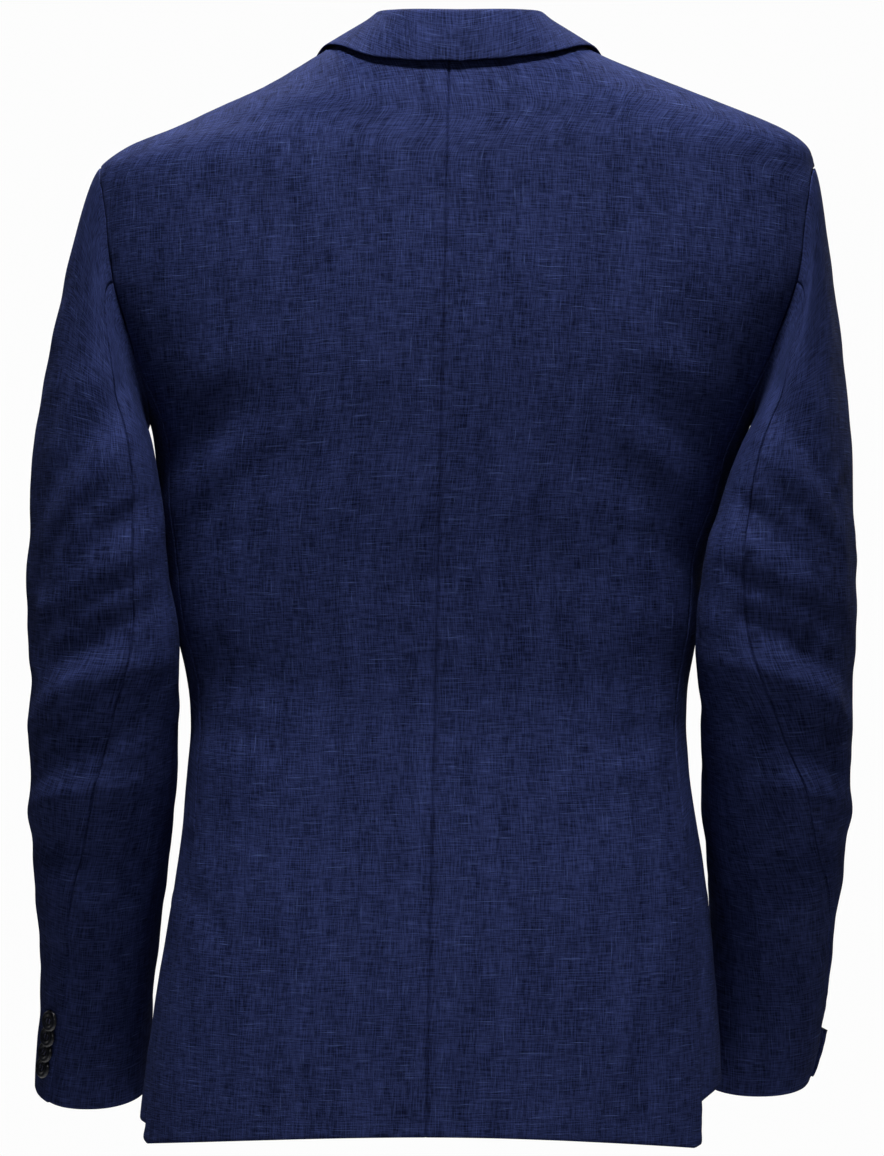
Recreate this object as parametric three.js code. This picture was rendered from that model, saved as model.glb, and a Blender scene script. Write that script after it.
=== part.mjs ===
// A single breasted blazer, filled out as if worn, with no wearer inside.
// Sizes are in millimetres. +X is the wearer's left, -Y the front, +Z up.
// The origin is the middle of the neck at the height of the shoulder points.
import * as THREE from 'three';

// Cloth and seams
const CLOTH = 1.8; // shell and facing pressed together
const SEAM_GAP = 0.3; // between two pieces at a seam
const HALF_GAP = SEAM_GAP / 2;
const LAP_OVER = 5.2; // how far the left front stands out where it laps over the right
const LAP_UNDER = 1; // how far the right front lies in under the left
const LAPEL_LIFT = 2.7; // outer face of a lapel above the front
const FLAP_LIFT = 2.7; // outer face of a pocket flap above the front
const VENT_DROP = 2.6; // how deep the side skirt lies under the back skirt
const VENT_UNDERLAP = 22; // how far it reaches under
const VENT_TOP = -531; // height of the top of both side vents
const SEAM_NECK_X = 6; // the straight centre back seam at the neck
const SEAM_HEM_X = 21.5; // and at the hem, where the body has swung to the left
const BODY_SQUARE = 2.4; // fullness of the body's sections: 2 is an ellipse
const SLEEVE_SQUARE = 2.15;

// Rows and columns of the cloth pieces
const VENT_ROWS = 7;
const SEWN_ROWS = 11;
const ARM_BACK = 9;
const ARM_SIDE = 8;
const ARM_FRONT = 9;
const SHOULDER_COLUMNS = 6;
const NECK_BACK_COLUMNS = 6;
const NECK_FRONT_COLUMNS = 4;
const SLEEVE_ROWS = 25;
const CAP_ROWS = 9;
const COLLAR_ROWS = 34;

// The body: its left and right edge, back, front and widest line at each height
const BODY = [
  { z: 14, left: 74, right: -75, back: 57, front: -51, mid: 10 },
  { z: 0, left: 97, right: -99, back: 71, front: -64, mid: 9 },
  { z: -20, left: 131, right: -149, back: 81, front: -76, mid: 8 },
  { z: -34, left: 162, right: -185, back: 87, front: -84, mid: 7 },
  { z: -48, left: 193, right: -219, back: 91, front: -90, mid: 6 },
  { z: -60, left: 223, right: -237, back: 95, front: -94, mid: 5 },
  { z: -75, left: 243, right: -242, back: 98, front: -98, mid: 5 },
  { z: -100, left: 249, right: -246, back: 101, front: -103, mid: 4 },
  { z: -150, left: 248, right: -244, back: 106, front: -113, mid: 2 },
  { z: -204, left: 229, right: -221, back: 107, front: -123, mid: 0 },
  { z: -247, left: 209, right: -199, back: 104, front: -128, mid: 0 },
  { z: -302, left: 203.5, right: -180, back: 99, front: -128, mid: 0 },
  { z: -340, left: 199, right: -168, back: 94, front: -126, mid: 0 },
  { z: -379, left: 193, right: -163.5, back: 90, front: -123, mid: 0 },
  { z: -435, left: 182, right: -155.5, back: 86, front: -119, mid: -1 },
  { z: -480, left: 184, right: -156.5, back: 89, front: -119, mid: -2 },
  { z: -531, left: 188, right: -164.5, back: 96, front: -122, mid: -3 },
  { z: -585, left: 197, right: -171.5, back: 103, front: -125, mid: -4 },
  { z: -640, left: 206, right: -176, back: 109, front: -127, mid: -5 },
  { z: -700, left: 214, right: -180, back: 113, front: -129, mid: -5 },
  { z: -750, left: 219, right: -181, back: 116, front: -131, mid: -5 },
];

// Seams down the body, as degrees round it from the centre back
const BODY_SEAMS = [
  { z: -200, back_left: 66, back_right: 66, front: 116 },
  { z: -300, back_left: 67, back_right: 67, front: 113 },
  { z: -435, back_left: 68, back_right: 67.5, front: 112 },
  { z: -531, back_left: 66, back_right: 64.5, front: 112 },
  { z: -600, back_left: 67, back_right: 63, front: 112 },
  { z: -680, back_left: 71, back_right: 61.5, front: 112 },
  { z: -750, back_left: 74, back_right: 60.5, front: 112 },
];

// The armhole, once round from the shoulder through the back and the armpit
const ARMHOLE = [
  { angle: 90, z: -74 },
  { angle: 76, z: -79 },
  { angle: 69.5, z: -93 },
  { angle: 66, z: -113 },
  { angle: 64.3, z: -138 },
  { angle: 64, z: -162 },
  { angle: 64.6, z: -184 },
  { angle: 66, z: -204 },
  { angle: 69.5, z: -226 },
  { angle: 77, z: -241 },
  { angle: 90, z: -247 },
  { angle: 104, z: -242 },
  { angle: 114, z: -226 },
  { angle: 117.5, z: -202 },
  { angle: 118, z: -176 },
  { angle: 117, z: -150 },
  { angle: 114, z: -122 },
  { angle: 109, z: -98 },
  { angle: 102, z: -81 },
];
const ARMHOLE_BACK_SEAM = 7; // rows of the table where the body seams end
const ARMHOLE_FRONT_SEAM = 12;

// Front edge from the hem to the neck: distance from the centre front. The
// edge is cut away under the buttons and is the roll line above them.
const FRONT_EDGE = [
  { z: 0, x: 68 },
  { z: -40, x: 64 },
  { z: -100, x: 57 },
  { z: -200, x: 40 },
  { z: -300, x: 16 },
  { z: -360, x: -2 },
  { z: -405, x: -15 },
  { z: -440, x: -19 },
  { z: -510, x: -19 },
  { z: -560, x: -14 },
  { z: -620, x: 2 },
  { z: -680, x: 24 },
  { z: -708, x: 41 },
  { z: -724, x: 59 },
  { z: -732, x: 84 },
];

// Free edge of the lapel from the break of the front to its tip
const LAPEL_EDGE = [
  { z: -398, x: -5 },
  { z: -360, x: 22 },
  { z: -300, x: 58 },
  { z: -230, x: 92 },
  { z: -160, x: 119 },
  { z: -98, x: 138 },
];
const GORGE_START = { x: 64, z: -40 };
const NOTCH = { x: 100, z: -80 };
const COLLAR_TIP = { x: 124, z: -55 };

// The collar from the centre back to its front end: where it is sewn on
// (degrees round the body and height), its fold, and its outer edge in plan
const COLLAR = [
  { t: 0, angle: 0, z: -4, fold_x: 0, fold_y: 68, fold_z: 25, leaf_x: 0, leaf_y: 77.5, lift: 5.4 },
  { t: 1, angle: 30, z: -3, fold_x: 32, fold_y: 62, fold_z: 26, leaf_x: 34, leaf_y: 75, lift: 5.2 },
  { t: 2, angle: 54, z: -1, fold_x: 49.5, fold_y: 44, fold_z: 27, leaf_x: 63, leaf_y: 66, lift: 4.8 },
  { t: 3, angle: 75, z: 3, fold_x: 53.5, fold_y: 21, fold_z: 26, leaf_x: 81, leaf_y: 46, lift: 4.2 },
  { t: 4, angle: 92, z: 6, fold_x: 56, fold_y: 0, fold_z: 20.5, leaf_x: 91, leaf_y: 18, lift: 3.4 },
  { t: 5, angle: 108, z: 5, fold_x: 61, fold_y: -20, fold_z: 13, leaf_x: 98, leaf_y: -12, lift: 3.2 },
  { t: 6, angle: 126, z: 3, fold_x: 65, fold_y: -41, fold_z: 5, leaf_x: 111, leaf_y: -40, lift: 3 },
  { t: 7, angle: 150, z: -10, fold_x: 64.5, fold_y: -62, fold_z: -9, leaf_x: 119, leaf_y: -62, lift: 3 },
  { t: 8, angle: 161, z: -39, fold_x: 60.5, fold_y: -79, fold_z: -38, leaf_x: 124, leaf_y: -80, lift: 3 },
];
const ROLL_BACK = 7; // the front's own edge lies this far behind the roll near the neck
const COLLAR_LIFT = 3.8; // outer face of the collar above the front where it lies flat

// Sleeve sections below the cap: outer and inner edge of each sleeve, middle,
// half depth, how far the section is pressed back round the body, forward lean
// in degrees, and the back seam as degrees round it
const SLEEVE = [
  { z: -292, out_left: 286, in_left: 205.5, out_right: 264, in_right: 185, mid_left: 14,
    mid_right: 14, half: 66, press: 23, lean_left: 0, lean_right: 0, back_left: -101, back_right: -101 },
  { z: -340, out_left: 286.5, in_left: 201, out_right: 265, in_right: 170.5, mid_left: 16,
    mid_right: 16, half: 63, press: 23, lean_left: 1, lean_right: 1, back_left: -97, back_right: -97 },
  { z: -394, out_left: 287.5, in_left: 192.5, out_right: 266, in_right: 164.5, mid_left: 13,
    mid_right: 11, half: 59, press: 21.5, lean_left: 4, lean_right: 4, back_left: -92, back_right: -90 },
  { z: -435, out_left: 290.5, in_left: 190.5, out_right: 268, in_right: 166, mid_left: 7,
    mid_right: 3, half: 57, press: 14, lean_left: 7, lean_right: 8, back_left: -87, back_right: -80 },
  { z: -476, out_left: 291.5, in_left: 191, out_right: 268.5, in_right: 166.5, mid_left: -2,
    mid_right: -8, half: 55, press: 8, lean_left: 12, lean_right: 12, back_left: -81, back_right: -68 },
  { z: -518, out_left: 291, in_left: 194.5, out_right: 267, in_right: 167.5, mid_left: -13,
    mid_right: -22, half: 53, press: 3, lean_left: 15, lean_right: 14, back_left: -75, back_right: -56 },
  { z: -560, out_left: 290, in_left: 199.5, out_right: 264, in_right: 172.5, mid_left: -24,
    mid_right: -38, half: 51, press: 0, lean_left: 17, lean_right: 13, back_left: -68, back_right: -42 },
  { z: -600, out_left: 287.5, in_left: 205.5, out_right: 260, in_right: 174, mid_left: -36,
    mid_right: -56, half: 49, press: 0, lean_left: 17, lean_right: 12, back_left: -63, back_right: -27 },
  { z: -644, out_left: 288.5, in_left: 210.5, out_right: 257, in_right: 172, mid_left: -50,
    mid_right: -74, half: 48, press: 0, lean_left: 17, lean_right: 11, back_left: -58, back_right: -8 },
  { z: -687, out_left: 293, in_left: 213.5, out_right: 251, in_right: 171, mid_left: -63,
    mid_right: -90, half: 47, press: 0, lean_left: 17, lean_right: 10, back_left: -50, back_right: 6 },
  { z: -703, out_left: 294, in_left: 214, out_right: 246.5, in_right: 171, mid_left: -67,
    mid_right: -95, half: 46, press: 0, lean_left: 17, lean_right: 10, back_left: -47, back_right: 9 },
];
const SLEEVE_FRONT_SEAM = 122; // degrees round the sleeve
const COLUMN_WIDTH = 12; // of the sleeve's cloth at the cuff
const CUFF_VENT_TOP = -575;
const SLEEVE_SEAM_BACK = 6; // columns of the armhole where the sleeve seams end
const SLEEVE_SEAM_FRONT = 19;

// Largest folds of a sleeve: place round it and height of the middle, slope,
// half length, half width and depth (below zero for a trough)
const SLEEVE_FOLDS = [
  { around: -70, z: -250, slope: -0.9, long: 52, wide: 13, deep: -3.2 },
  { around: -62, z: -286, slope: -0.8, long: 56, wide: 14, deep: 3 },
  { around: -78, z: -322, slope: -0.8, long: 50, wide: 12, deep: -3.4 },
  { around: -50, z: -352, slope: -0.7, long: 48, wide: 15, deep: 2.6 },
  { around: -66, z: -392, slope: -0.6, long: 58, wide: 12, deep: -3 },
  { around: -48, z: -424, slope: -0.5, long: 44, wide: 15, deep: 2.6 },
  { around: -72, z: -462, slope: -0.35, long: 46, wide: 13, deep: -2.8 },
  { around: -40, z: -500, slope: -0.3, long: 52, wide: 15, deep: 2.4 },
  { around: -80, z: -540, slope: 0.2, long: 40, wide: 14, deep: -2 },
  { around: 70, z: -280, slope: 0.9, long: 56, wide: 14, deep: -3 },
  { around: 62, z: -330, slope: 0.8, long: 50, wide: 15, deep: 2.6 },
  { around: 84, z: -400, slope: 0.5, long: 44, wide: 13, deep: -2.6 },
  { around: 96, z: -455, slope: 0.3, long: 46, wide: 14, deep: 2.2 },
];

// Largest folds of the body, by distance round from the centre back
const BODY_FOLDS = [
  { around: 196, z: -262, slope: -0.9, long: 52, wide: 15, deep: -2.4 },
  { around: 172, z: -232, slope: -1.1, long: 60, wide: 18, deep: 2.2 },
  { around: 150, z: -300, slope: -0.6, long: 70, wide: 20, deep: -1.6 },
  { around: 120, z: -420, slope: 0.15, long: 60, wide: 18, deep: -1.2 },
  { around: 330, z: -395, slope: 0.5, long: 60, wide: 15, deep: -1.6 },
  { around: 300, z: -300, slope: 0.8, long: 60, wide: 18, deep: -1.8 },
];

// Buttons and flaps
const CUFF_BUTTON = { radius: 7.5, thick: 2.2, tilt: 12, count: 4, top: -644, pitch: 11.5,
  lift_left: 2.9, lift_right: 2.5, from_vent_left: 1.15, from_vent_right: 8.4 };
const FRONT_BUTTON = { radius: 10.5, thick: 3.2, lift: 2, heights: [-412, -508] };
const FLAP = { start_angle: 106, wide: 148, high: 54, top: -533, corner: 14, slant: 8 };

const rad = (degrees) => (degrees * Math.PI) / 180;
const lerp = (a, b, t) => a + (b - a) * t;
const clamp = (value, low, high) => Math.min(high, Math.max(low, value));
const smooth = (t) => clamp(t, 0, 1) ** 2 * (3 - 2 * clamp(t, 0, 1));
const add = (a, b, k = 1) => [a[0] + b[0] * k, a[1] + b[1] * k, a[2] + b[2] * k];
const dot = (a, b) => a[0] * b[0] + a[1] * b[1] + a[2] * b[2];
const size = (a) => Math.sqrt(dot(a, a));
const unit = (a) => add([0, 0, 0], a, 1 / (size(a) || 1));
const cross = (a, b) => [
  a[1] * b[2] - a[2] * b[1],
  a[2] * b[0] - a[0] * b[2],
  a[0] * b[1] - a[1] * b[0],
];
const blend = (a, b, t) => [lerp(a[0], b[0], t), lerp(a[1], b[1], t), lerp(a[2], b[2], t)];

/** Smooth value between a and b that leaves and arrives with the given slopes. */
function ease(a, slopeA, b, slopeB, t) {
  const u = t * t;
  const w = u * t;
  return a * (2 * w - 3 * u + 1) + slopeA * (w - 2 * u + t) + b * (3 * u - 2 * w) + slopeB * (w - u);
}

/** Every column of a table at a place between its rows. */
function rowAt(table, key, at) {
  const way = table[0][key] > table[table.length - 1][key] ? -1 : 1;
  let i = 0;
  while (i < table.length - 2 && (at - table[i + 1][key]) * way > 0) {
    i += 1;
  }
  const here = table[i];
  const next = table[i + 1];
  const before = table[Math.max(i - 1, 0)];
  const after = table[Math.min(i + 2, table.length - 1)];
  const span = next[key] - here[key];
  const t = clamp((at - here[key]) / span, 0, 1);
  const row = {};
  for (const name of Object.keys(here)) {
    const slopeHere = ((next[name] - before[name]) / (next[key] - before[key])) * span;
    const slopeNext = ((after[name] - here[name]) / (after[key] - here[key])) * span;
    row[name] = ease(here[name], slopeHere, next[name], slopeNext, t);
  }
  return row;
}

/** Distance out to a rounded section in one direction, as a share of its half width. */
function reach(angle, square) {
  const s = Math.abs(Math.sin(angle)) ** square;
  const c = Math.abs(Math.cos(angle)) ** square;
  return (s + c) ** (-1 / square);
}

/** A point of the body, by degrees round from the centre back (left is positive). */
function bodyPoint(angle, z) {
  const row = rowAt(BODY, 'z', z);
  const middle = (row.left + row.right) / 2;
  const half = (row.left - row.right) / 2;
  const a = rad(angle);
  const out = reach(a, BODY_SQUARE);
  const depth = Math.cos(a) > 0 ? row.back - row.mid : row.mid - row.front;
  return [middle + half * out * Math.sin(a), row.mid + depth * out * Math.cos(a), z];
}

/** The body's outward direction at a point given by degrees and height. */
function bodyNormal(angle, z) {
  const up = add(bodyPoint(angle, z + 1), bodyPoint(angle, z - 1), -1);
  const along = add(bodyPoint(angle + 0.5, z), bodyPoint(angle - 0.5, z), -1);
  return unit(cross(up, along));
}

/** Lengths round the body at a height, every three degrees from the centre back. */
const knownLengths = new Map();
function lengthsAt(z) {
  const key = z.toFixed(3);
  if (!knownLengths.has(key)) {
    const lengths = [0];
    for (let i = 1; i <= 60; i += 1) {
      lengths.push(lengths[i - 1] + size(add(bodyPoint(i * 3, z), bodyPoint(i * 3 - 3, z), -1)));
    }
    knownLengths.set(key, lengths);
  }
  return knownLengths.get(key);
}

/** Length round the body from the centre back to an angle. */
function lengthTo(angle, z) {
  const lengths = lengthsAt(z);
  const i = Math.min(59, Math.floor(angle / 3));
  return lerp(lengths[i], lengths[i + 1], angle / 3 - i);
}

/** The angle that lies a length round the body; past the centre front it goes on. */
function angleFor(length, z) {
  const lengths = lengthsAt(z);
  if (length > lengths[60]) {
    return 360 - angleFor(2 * lengths[60] - length, z);
  }
  if (length < 0) {
    return -angleFor(-length, z);
  }
  let i = 0;
  while (i < 59 && lengths[i + 1] < length) {
    i += 1;
  }
  return 3 * (i + (length - lengths[i]) / (lengths[i + 1] - lengths[i]));
}

/** The length round to a front point that lies x from the centre front. */
function lengthForX(x, z) {
  const row = rowAt(BODY, 'z', z);
  const half = (row.left - row.right) / 2;
  let low = 90;
  let high = 180;
  for (let i = 0; i < 40; i += 1) {
    const trial = (low + high) / 2;
    if (half * reach(rad(trial), BODY_SQUARE) * Math.sin(rad(trial)) > Math.abs(x)) {
      low = trial;
    } else {
      high = trial;
    }
  }
  const length = lengthTo(low, z);
  return x >= 0 ? length : 2 * lengthsAt(z)[60] - length;
}

/** Sum of the folds at a place: each is a soft ridge or trough along a slanted line. */
function foldsAt(folds, around, z) {
  let sum = 0;
  for (const fold of folds) {
    const run = Math.sqrt(1 + fold.slope * fold.slope);
    const da = around - fold.around;
    const dz = z - fold.z;
    const along = (da + dz * fold.slope) / run;
    const over = (dz - da * fold.slope) / run;
    sum += fold.deep * Math.exp(-((along / fold.long) ** 2) - (over / fold.wide) ** 2);
  }
  return sum;
}

/** A point of the body's cloth: side, length round, height and distance out. */
function cloth(side, length, z, lift) {
  const angle = side * angleFor(length, z);
  const out = lift + foldsAt(BODY_FOLDS, length, z) * smooth((-z - 150) / 60) * smooth((z + 720) / 60);
  return add(bodyPoint(angle, z), bodyNormal(angle, z), out);
}

/** How far the front stands out where the two fronts lap, by distance from the middle. */
function lapAt(side, length, z) {
  const fromMiddle = lengthsAt(z)[60] - length;
  return (side > 0 ? LAP_OVER : -LAP_UNDER) * smooth((70 - fromMiddle) / 60);
}

/** Fill a four sided patch from its sides, each a list of places [length, height]. */
function fill(bottom, top, left, right) {
  const columns = bottom.length - 1;
  const rows = left.length - 1;
  const grid = [];
  for (let j = 0; j <= rows; j += 1) {
    const v = j / rows;
    grid.push(bottom.map((_, i) => {
      const u = i / columns;
      return [0, 1].map((k) => {
        const ends = lerp(bottom[i][k], top[i][k], v) + lerp(left[j][k], right[j][k], u);
        const corners = lerp(lerp(bottom[0][k], bottom[columns][k], u),
          lerp(top[0][k], top[columns][k], u), v);
        return ends - corners;
      });
    }));
  }
  return grid;
}

/** A closed wall of cloth from a grid of outer points and one of inner points. */
function wall(name, outer, inner, material) {
  const rows = outer.length;
  const columns = outer[0].length;
  const points = [...outer.flat(), ...inner.flat()];
  const back = rows * columns;
  const faces = [];
  const quad = (a, b, c, d) => faces.push([a, b, c], [a, c, d]);
  for (let j = 0; j < rows - 1; j += 1) {
    for (let i = 0; i < columns - 1; i += 1) {
      const a = j * columns + i;
      quad(a, a + 1, a + columns + 1, a + columns);
      quad(back + a, back + a + columns, back + a + columns + 1, back + a + 1);
    }
  }
  const rim = [];
  for (let i = 0; i < columns; i += 1) rim.push(i);
  for (let j = 1; j < rows; j += 1) rim.push(j * columns + columns - 1);
  for (let i = columns - 2; i >= 0; i -= 1) rim.push((rows - 1) * columns + i);
  for (let j = rows - 2; j > 0; j -= 1) rim.push(j * columns);
  rim.forEach((a, k) => {
    const b = rim[(k + 1) % rim.length];
    if (b > a) {
      quad(a, back + a, back + b, b);
    } else {
      quad(b, a, back + a, back + b);
    }
  });
  return solid(name, points, faces, material);
}

/** A mesh from points and triangles, turned to face outward. */
function solid(name, points, faces, material) {
  let volume = 0;
  for (const [a, b, c] of faces) {
    volume += dot(points[a], cross(points[b], points[c]));
  }
  const turned = volume < 0 ? faces.map(([a, b, c]) => [a, c, b]) : faces;
  const geometry = new THREE.BufferGeometry();
  geometry.setAttribute('position', new THREE.Float32BufferAttribute(points.flat(), 3));
  geometry.setIndex(turned.flat());
  geometry.computeVertexNormals();
  const mesh = new THREE.Mesh(geometry, material.clone());
  mesh.name = name;
  return mesh;
}

/** A cloth wall over a grid of places on the body, with its distance out. */
function bodyWall(name, side, grid, liftAt, material, thick = CLOTH) {
  const layer = (depth) => grid.map((row, j) => row.map(([length, z], i) => (
    cloth(side, length, z, liftAt(length, z, i, j) - depth))));
  return wall(name, layer(0), layer(thick), material);
}

const sideName = (side) => (side > 0 ? 'left' : 'right');
const backSeam = (side, z) => rowAt(BODY_SEAMS, 'z', z)[side > 0 ? 'back_left' : 'back_right'];
const steps = (count) => Array.from({ length: count + 1 }, (_, i) => i / count);

/** A place on the armhole by its column, which counts the vertices round it. */
function armholePlace(column) {
  const total = ARM_BACK + ARM_SIDE + ARM_FRONT;
  const c = ((column % total) + total) % total;
  let at = (c / ARM_BACK) * ARMHOLE_BACK_SEAM;
  if (c > ARM_BACK + ARM_SIDE) {
    const share = (c - ARM_BACK - ARM_SIDE) / ARM_FRONT;
    at = lerp(ARMHOLE_FRONT_SEAM, ARMHOLE.length, share);
  } else if (c > ARM_BACK) {
    at = lerp(ARMHOLE_BACK_SEAM, ARMHOLE_FRONT_SEAM, (c - ARM_BACK) / ARM_SIDE);
  }
  const i = Math.floor(at);
  const pick = (k) => ARMHOLE[(k + ARMHOLE.length) % ARMHOLE.length];
  const value = (key) => {
    const slopes = [pick(i + 1)[key] - pick(i - 1)[key], pick(i + 2)[key] - pick(i)[key]];
    return ease(pick(i)[key], slopes[0] / 2, pick(i + 1)[key], slopes[1] / 2, at - i);
  };
  return { angle: value('angle'), z: value('z') };
}

/** Length from the middle of the section to the centre back seam, on one side. */
function centreSeam(side, z) {
  const row = rowAt(BODY, 'z', z);
  const line = lerp(SEAM_NECK_X, SEAM_HEM_X, clamp(z / -720, 0, 1));
  return side * (line - (row.left + row.right) / 2);
}

/** The armhole as a place [length, height] on the body. */
function armholeLength(column) {
  const { angle, z } = armholePlace(column);
  return [lengthTo(angle, z), z];
}

/** Distance of the front's own edge from the centre front at a height. */
const frontEdge = (z) => rowAt(FRONT_EDGE, 'z', z).x + ROLL_BACK * smooth((z + 80) / 45);

/** Where the neck seam meets the front edge, as degrees round the body. */
const NECK_END = angleFor(lengthForX(frontEdge(0), 0), 0);

/** Height of the neck seam at an angle, from the centre back to the front edge. */
function neckHeight(angle) {
  if (angle <= 90) {
    return -4 + 10 * smooth(angle / 90);
  }
  return 6 - 6 * ((angle - 90) / (NECK_END - 90));
}

/** The shoulder seam from the neck to the armhole, shifted off the ridge. */
function shoulderSeam(shift) {
  return steps(SHOULDER_COLUMNS).map((t) => {
    const z = lerp(neckHeight(90), ARMHOLE[0].z, t);
    return [lengthTo(90, z) + shift, z];
  });
}

/** Heights up a side seam: the open vent part, then the sewn part. */
function seamHeights(hem, armhole) {
  const open = steps(VENT_ROWS).map((t) => lerp(hem, VENT_TOP, t ** 1.4));
  const sewn = steps(SEWN_ROWS).slice(1).map((t) => lerp(VENT_TOP, armhole, t));
  return [...open, ...sewn];
}

/** Half of the back, from the centre seam to the side seam and armhole. */
function backPanel(side, material) {
  const columns = NECK_BACK_COLUMNS + SHOULDER_COLUMNS;
  const hemAt = (t) => -717.6 - 15 * t * t + 3 * smooth((t - 0.95) / 0.05);
  const armholeSeam = armholePlace(ARM_BACK).z;
  const right = seamHeights(hemAt(1), armholeSeam).map((z) => [
    lengthTo(backSeam(side, z), z) - HALF_GAP, z]);
  for (let c = ARM_BACK - 1; c >= 0; c -= 1) {
    right.push(armholeLength(c));
  }
  const centreHeights = seamHeights(hemAt(0), -212);
  for (let k = 1; k <= ARM_BACK; k += 1) {
    centreHeights.push(lerp(-212, neckHeight(0), k / ARM_BACK));
  }
  const left = centreHeights.map((z) => [centreSeam(side, z) + HALF_GAP, z]);
  const neck = steps(NECK_BACK_COLUMNS).slice(0, -1).map((t) => {
    const z = neckHeight(0);
    const angle = lerp(angleFor(centreSeam(side, z) + HALF_GAP, z), 90, t);
    const height = neckHeight(Math.abs(angle));
    return [Math.sign(angle) * lengthTo(Math.abs(angle), height), height];
  });
  const top = [...neck, ...shoulderSeam(-HALF_GAP)];
  right[right.length - 1] = top[columns];
  left[left.length - 1] = top[0];
  const bottom = steps(columns).map((t) => [lerp(left[0][0], right[0][0], t), hemAt(t)]);
  const grid = fill(bottom, top, left, right);
  return bodyWall(`back_${sideName(side)}`, side, grid, () => 0, material);
}

/** The panel under the arm, whose skirt runs on under the back skirt. */
function sidePanel(side, material) {
  const backEnd = armholePlace(ARM_BACK).z;
  const frontEnd = armholePlace(ARM_BACK + ARM_SIDE).z;
  const underlap = (z) => VENT_UNDERLAP * smooth((VENT_TOP - 2 - z) / 16);
  const left = seamHeights(side > 0 ? -722 : -712, backEnd).map((z) => [
    lengthTo(backSeam(side, z), z) + HALF_GAP - underlap(z), z]);
  const right = seamHeights(side > 0 ? -724 : -708, frontEnd).map((z) => [
    lengthTo(rowAt(BODY_SEAMS, 'z', z).front, z) - HALF_GAP, z]);
  const top = [];
  for (let c = 0; c <= ARM_SIDE; c += 1) {
    top.push(armholeLength(ARM_BACK + c));
  }
  top[0] = left[left.length - 1];
  top[ARM_SIDE] = right[right.length - 1];
  const rise = side > 0 ? 4 : 18;
  const bottom = steps(ARM_SIDE).map((t) => [
    lerp(left[0][0], right[0][0], t),
    lerp(left[0][1], right[0][1], t) + rise * Math.sin(Math.PI * t),
  ]);
  const grid = fill(bottom, top, left, right);
  const drop = (length, z) => {
    const seam = lengthTo(backSeam(side, z), z);
    return -VENT_DROP * smooth((VENT_TOP + 14 - z) / 16) * smooth(1 - (length - seam - 1) / 24);
  };
  return bodyWall(`side_${sideName(side)}`, side, grid, drop, material);
}

/** The front from the side seam to the front edge, roll line and shoulder. */
function frontPanel(side, material) {
  const columns = NECK_FRONT_COLUMNS + SHOULDER_COLUMNS;
  const hemSide = side > 0 ? -724 : -708;
  const armholeSeam = armholePlace(ARM_BACK + ARM_SIDE).z;
  const right = seamHeights(hemSide, armholeSeam).map((z) => [
    lengthTo(rowAt(BODY_SEAMS, 'z', z).front, z) + HALF_GAP, z]);
  for (let c = 1; c <= ARM_FRONT; c += 1) {
    right.push(armholeLength(ARM_BACK + ARM_SIDE + c));
  }
  const edgeHeights = [...seamHeights(-732, -212)];
  for (let k = 1; k <= ARM_FRONT; k += 1) {
    edgeHeights.push(lerp(-212, 0, k / ARM_FRONT));
  }
  const left = edgeHeights.map((z) => [lengthForX(frontEdge(z), z), z]);
  const neck = steps(NECK_FRONT_COLUMNS).slice(0, -1).map((t) => {
    const angle = lerp(NECK_END, 90, t);
    return [lengthTo(angle, neckHeight(angle)), neckHeight(angle)];
  });
  const top = [...neck, ...shoulderSeam(HALF_GAP)];
  right[right.length - 1] = top[columns];
  const bottom = steps(columns).map((t) => [
    lerp(left[0][0], right[0][0], t),
    lerp(-732, hemSide, t) - 6 * Math.sin(Math.PI * t),
  ]);
  const grid = fill(bottom, top, left, right);
  return bodyWall(`front_${sideName(side)}`, side, grid, (l, z) => lapAt(side, l, z), material);
}

/** A place on the line where lapel and collar are joined, then the collar's end. */
function gorge(share) {
  const t = share / 0.6;
  if (share <= 0.6) {
    return [lerp(GORGE_START.x, NOTCH.x, t), lerp(GORGE_START.z, NOTCH.z, t)];
  }
  const u = (share - 0.6) / 0.4;
  return [lerp(NOTCH.x, COLLAR_TIP.x, u), lerp(NOTCH.z, COLLAR_TIP.z, u)];
}

/** The lapel, folded back along the roll line and lying on the front. */
function lapel(side, material) {
  const rows = 16;
  const columns = 8;
  const roll = steps(rows).map((t) => {
    const z = lerp(-400, GORGE_START.z - 1, t);
    return [rowAt(FRONT_EDGE, 'z', z).x - 2.2, z];
  });
  const edge = steps(rows).map((t) => {
    const z = lerp(-398, LAPEL_EDGE[LAPEL_EDGE.length - 1].z, t);
    return [rowAt(LAPEL_EDGE, 'z', z).x, z];
  });
  const tip = edge[rows];
  const top = steps(columns).map((t) => {
    if (t <= 0.5) {
      const [x, z] = gorge(1.2 * t);
      return [x, z - 0.8];
    }
    return [lerp(NOTCH.x, tip[0], 2 * t - 1), lerp(NOTCH.z - 0.8, tip[1], 2 * t - 1)];
  });
  top[0] = roll[rows];
  const bottom = steps(columns).map((t) => [lerp(roll[0][0], edge[0][0], t), lerp(-400, -398, t)]);
  const places = fill(bottom, top, roll, edge).map((row) => row.map(([x, z]) => [
    lengthForX(x, z), z]));
  const lift = (length, z, i) => {
    const rolled = 2.6 * Math.exp(-((i / columns / 0.16) ** 2)) * (i === 0 ? 0.1 : 1);
    return LAPEL_LIFT + rolled * smooth((z + 385) / 110) + lapAt(side, length, z);
  };
  return bodyWall(`lapel_${sideName(side)}`, side, places, lift, material);
}

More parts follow.
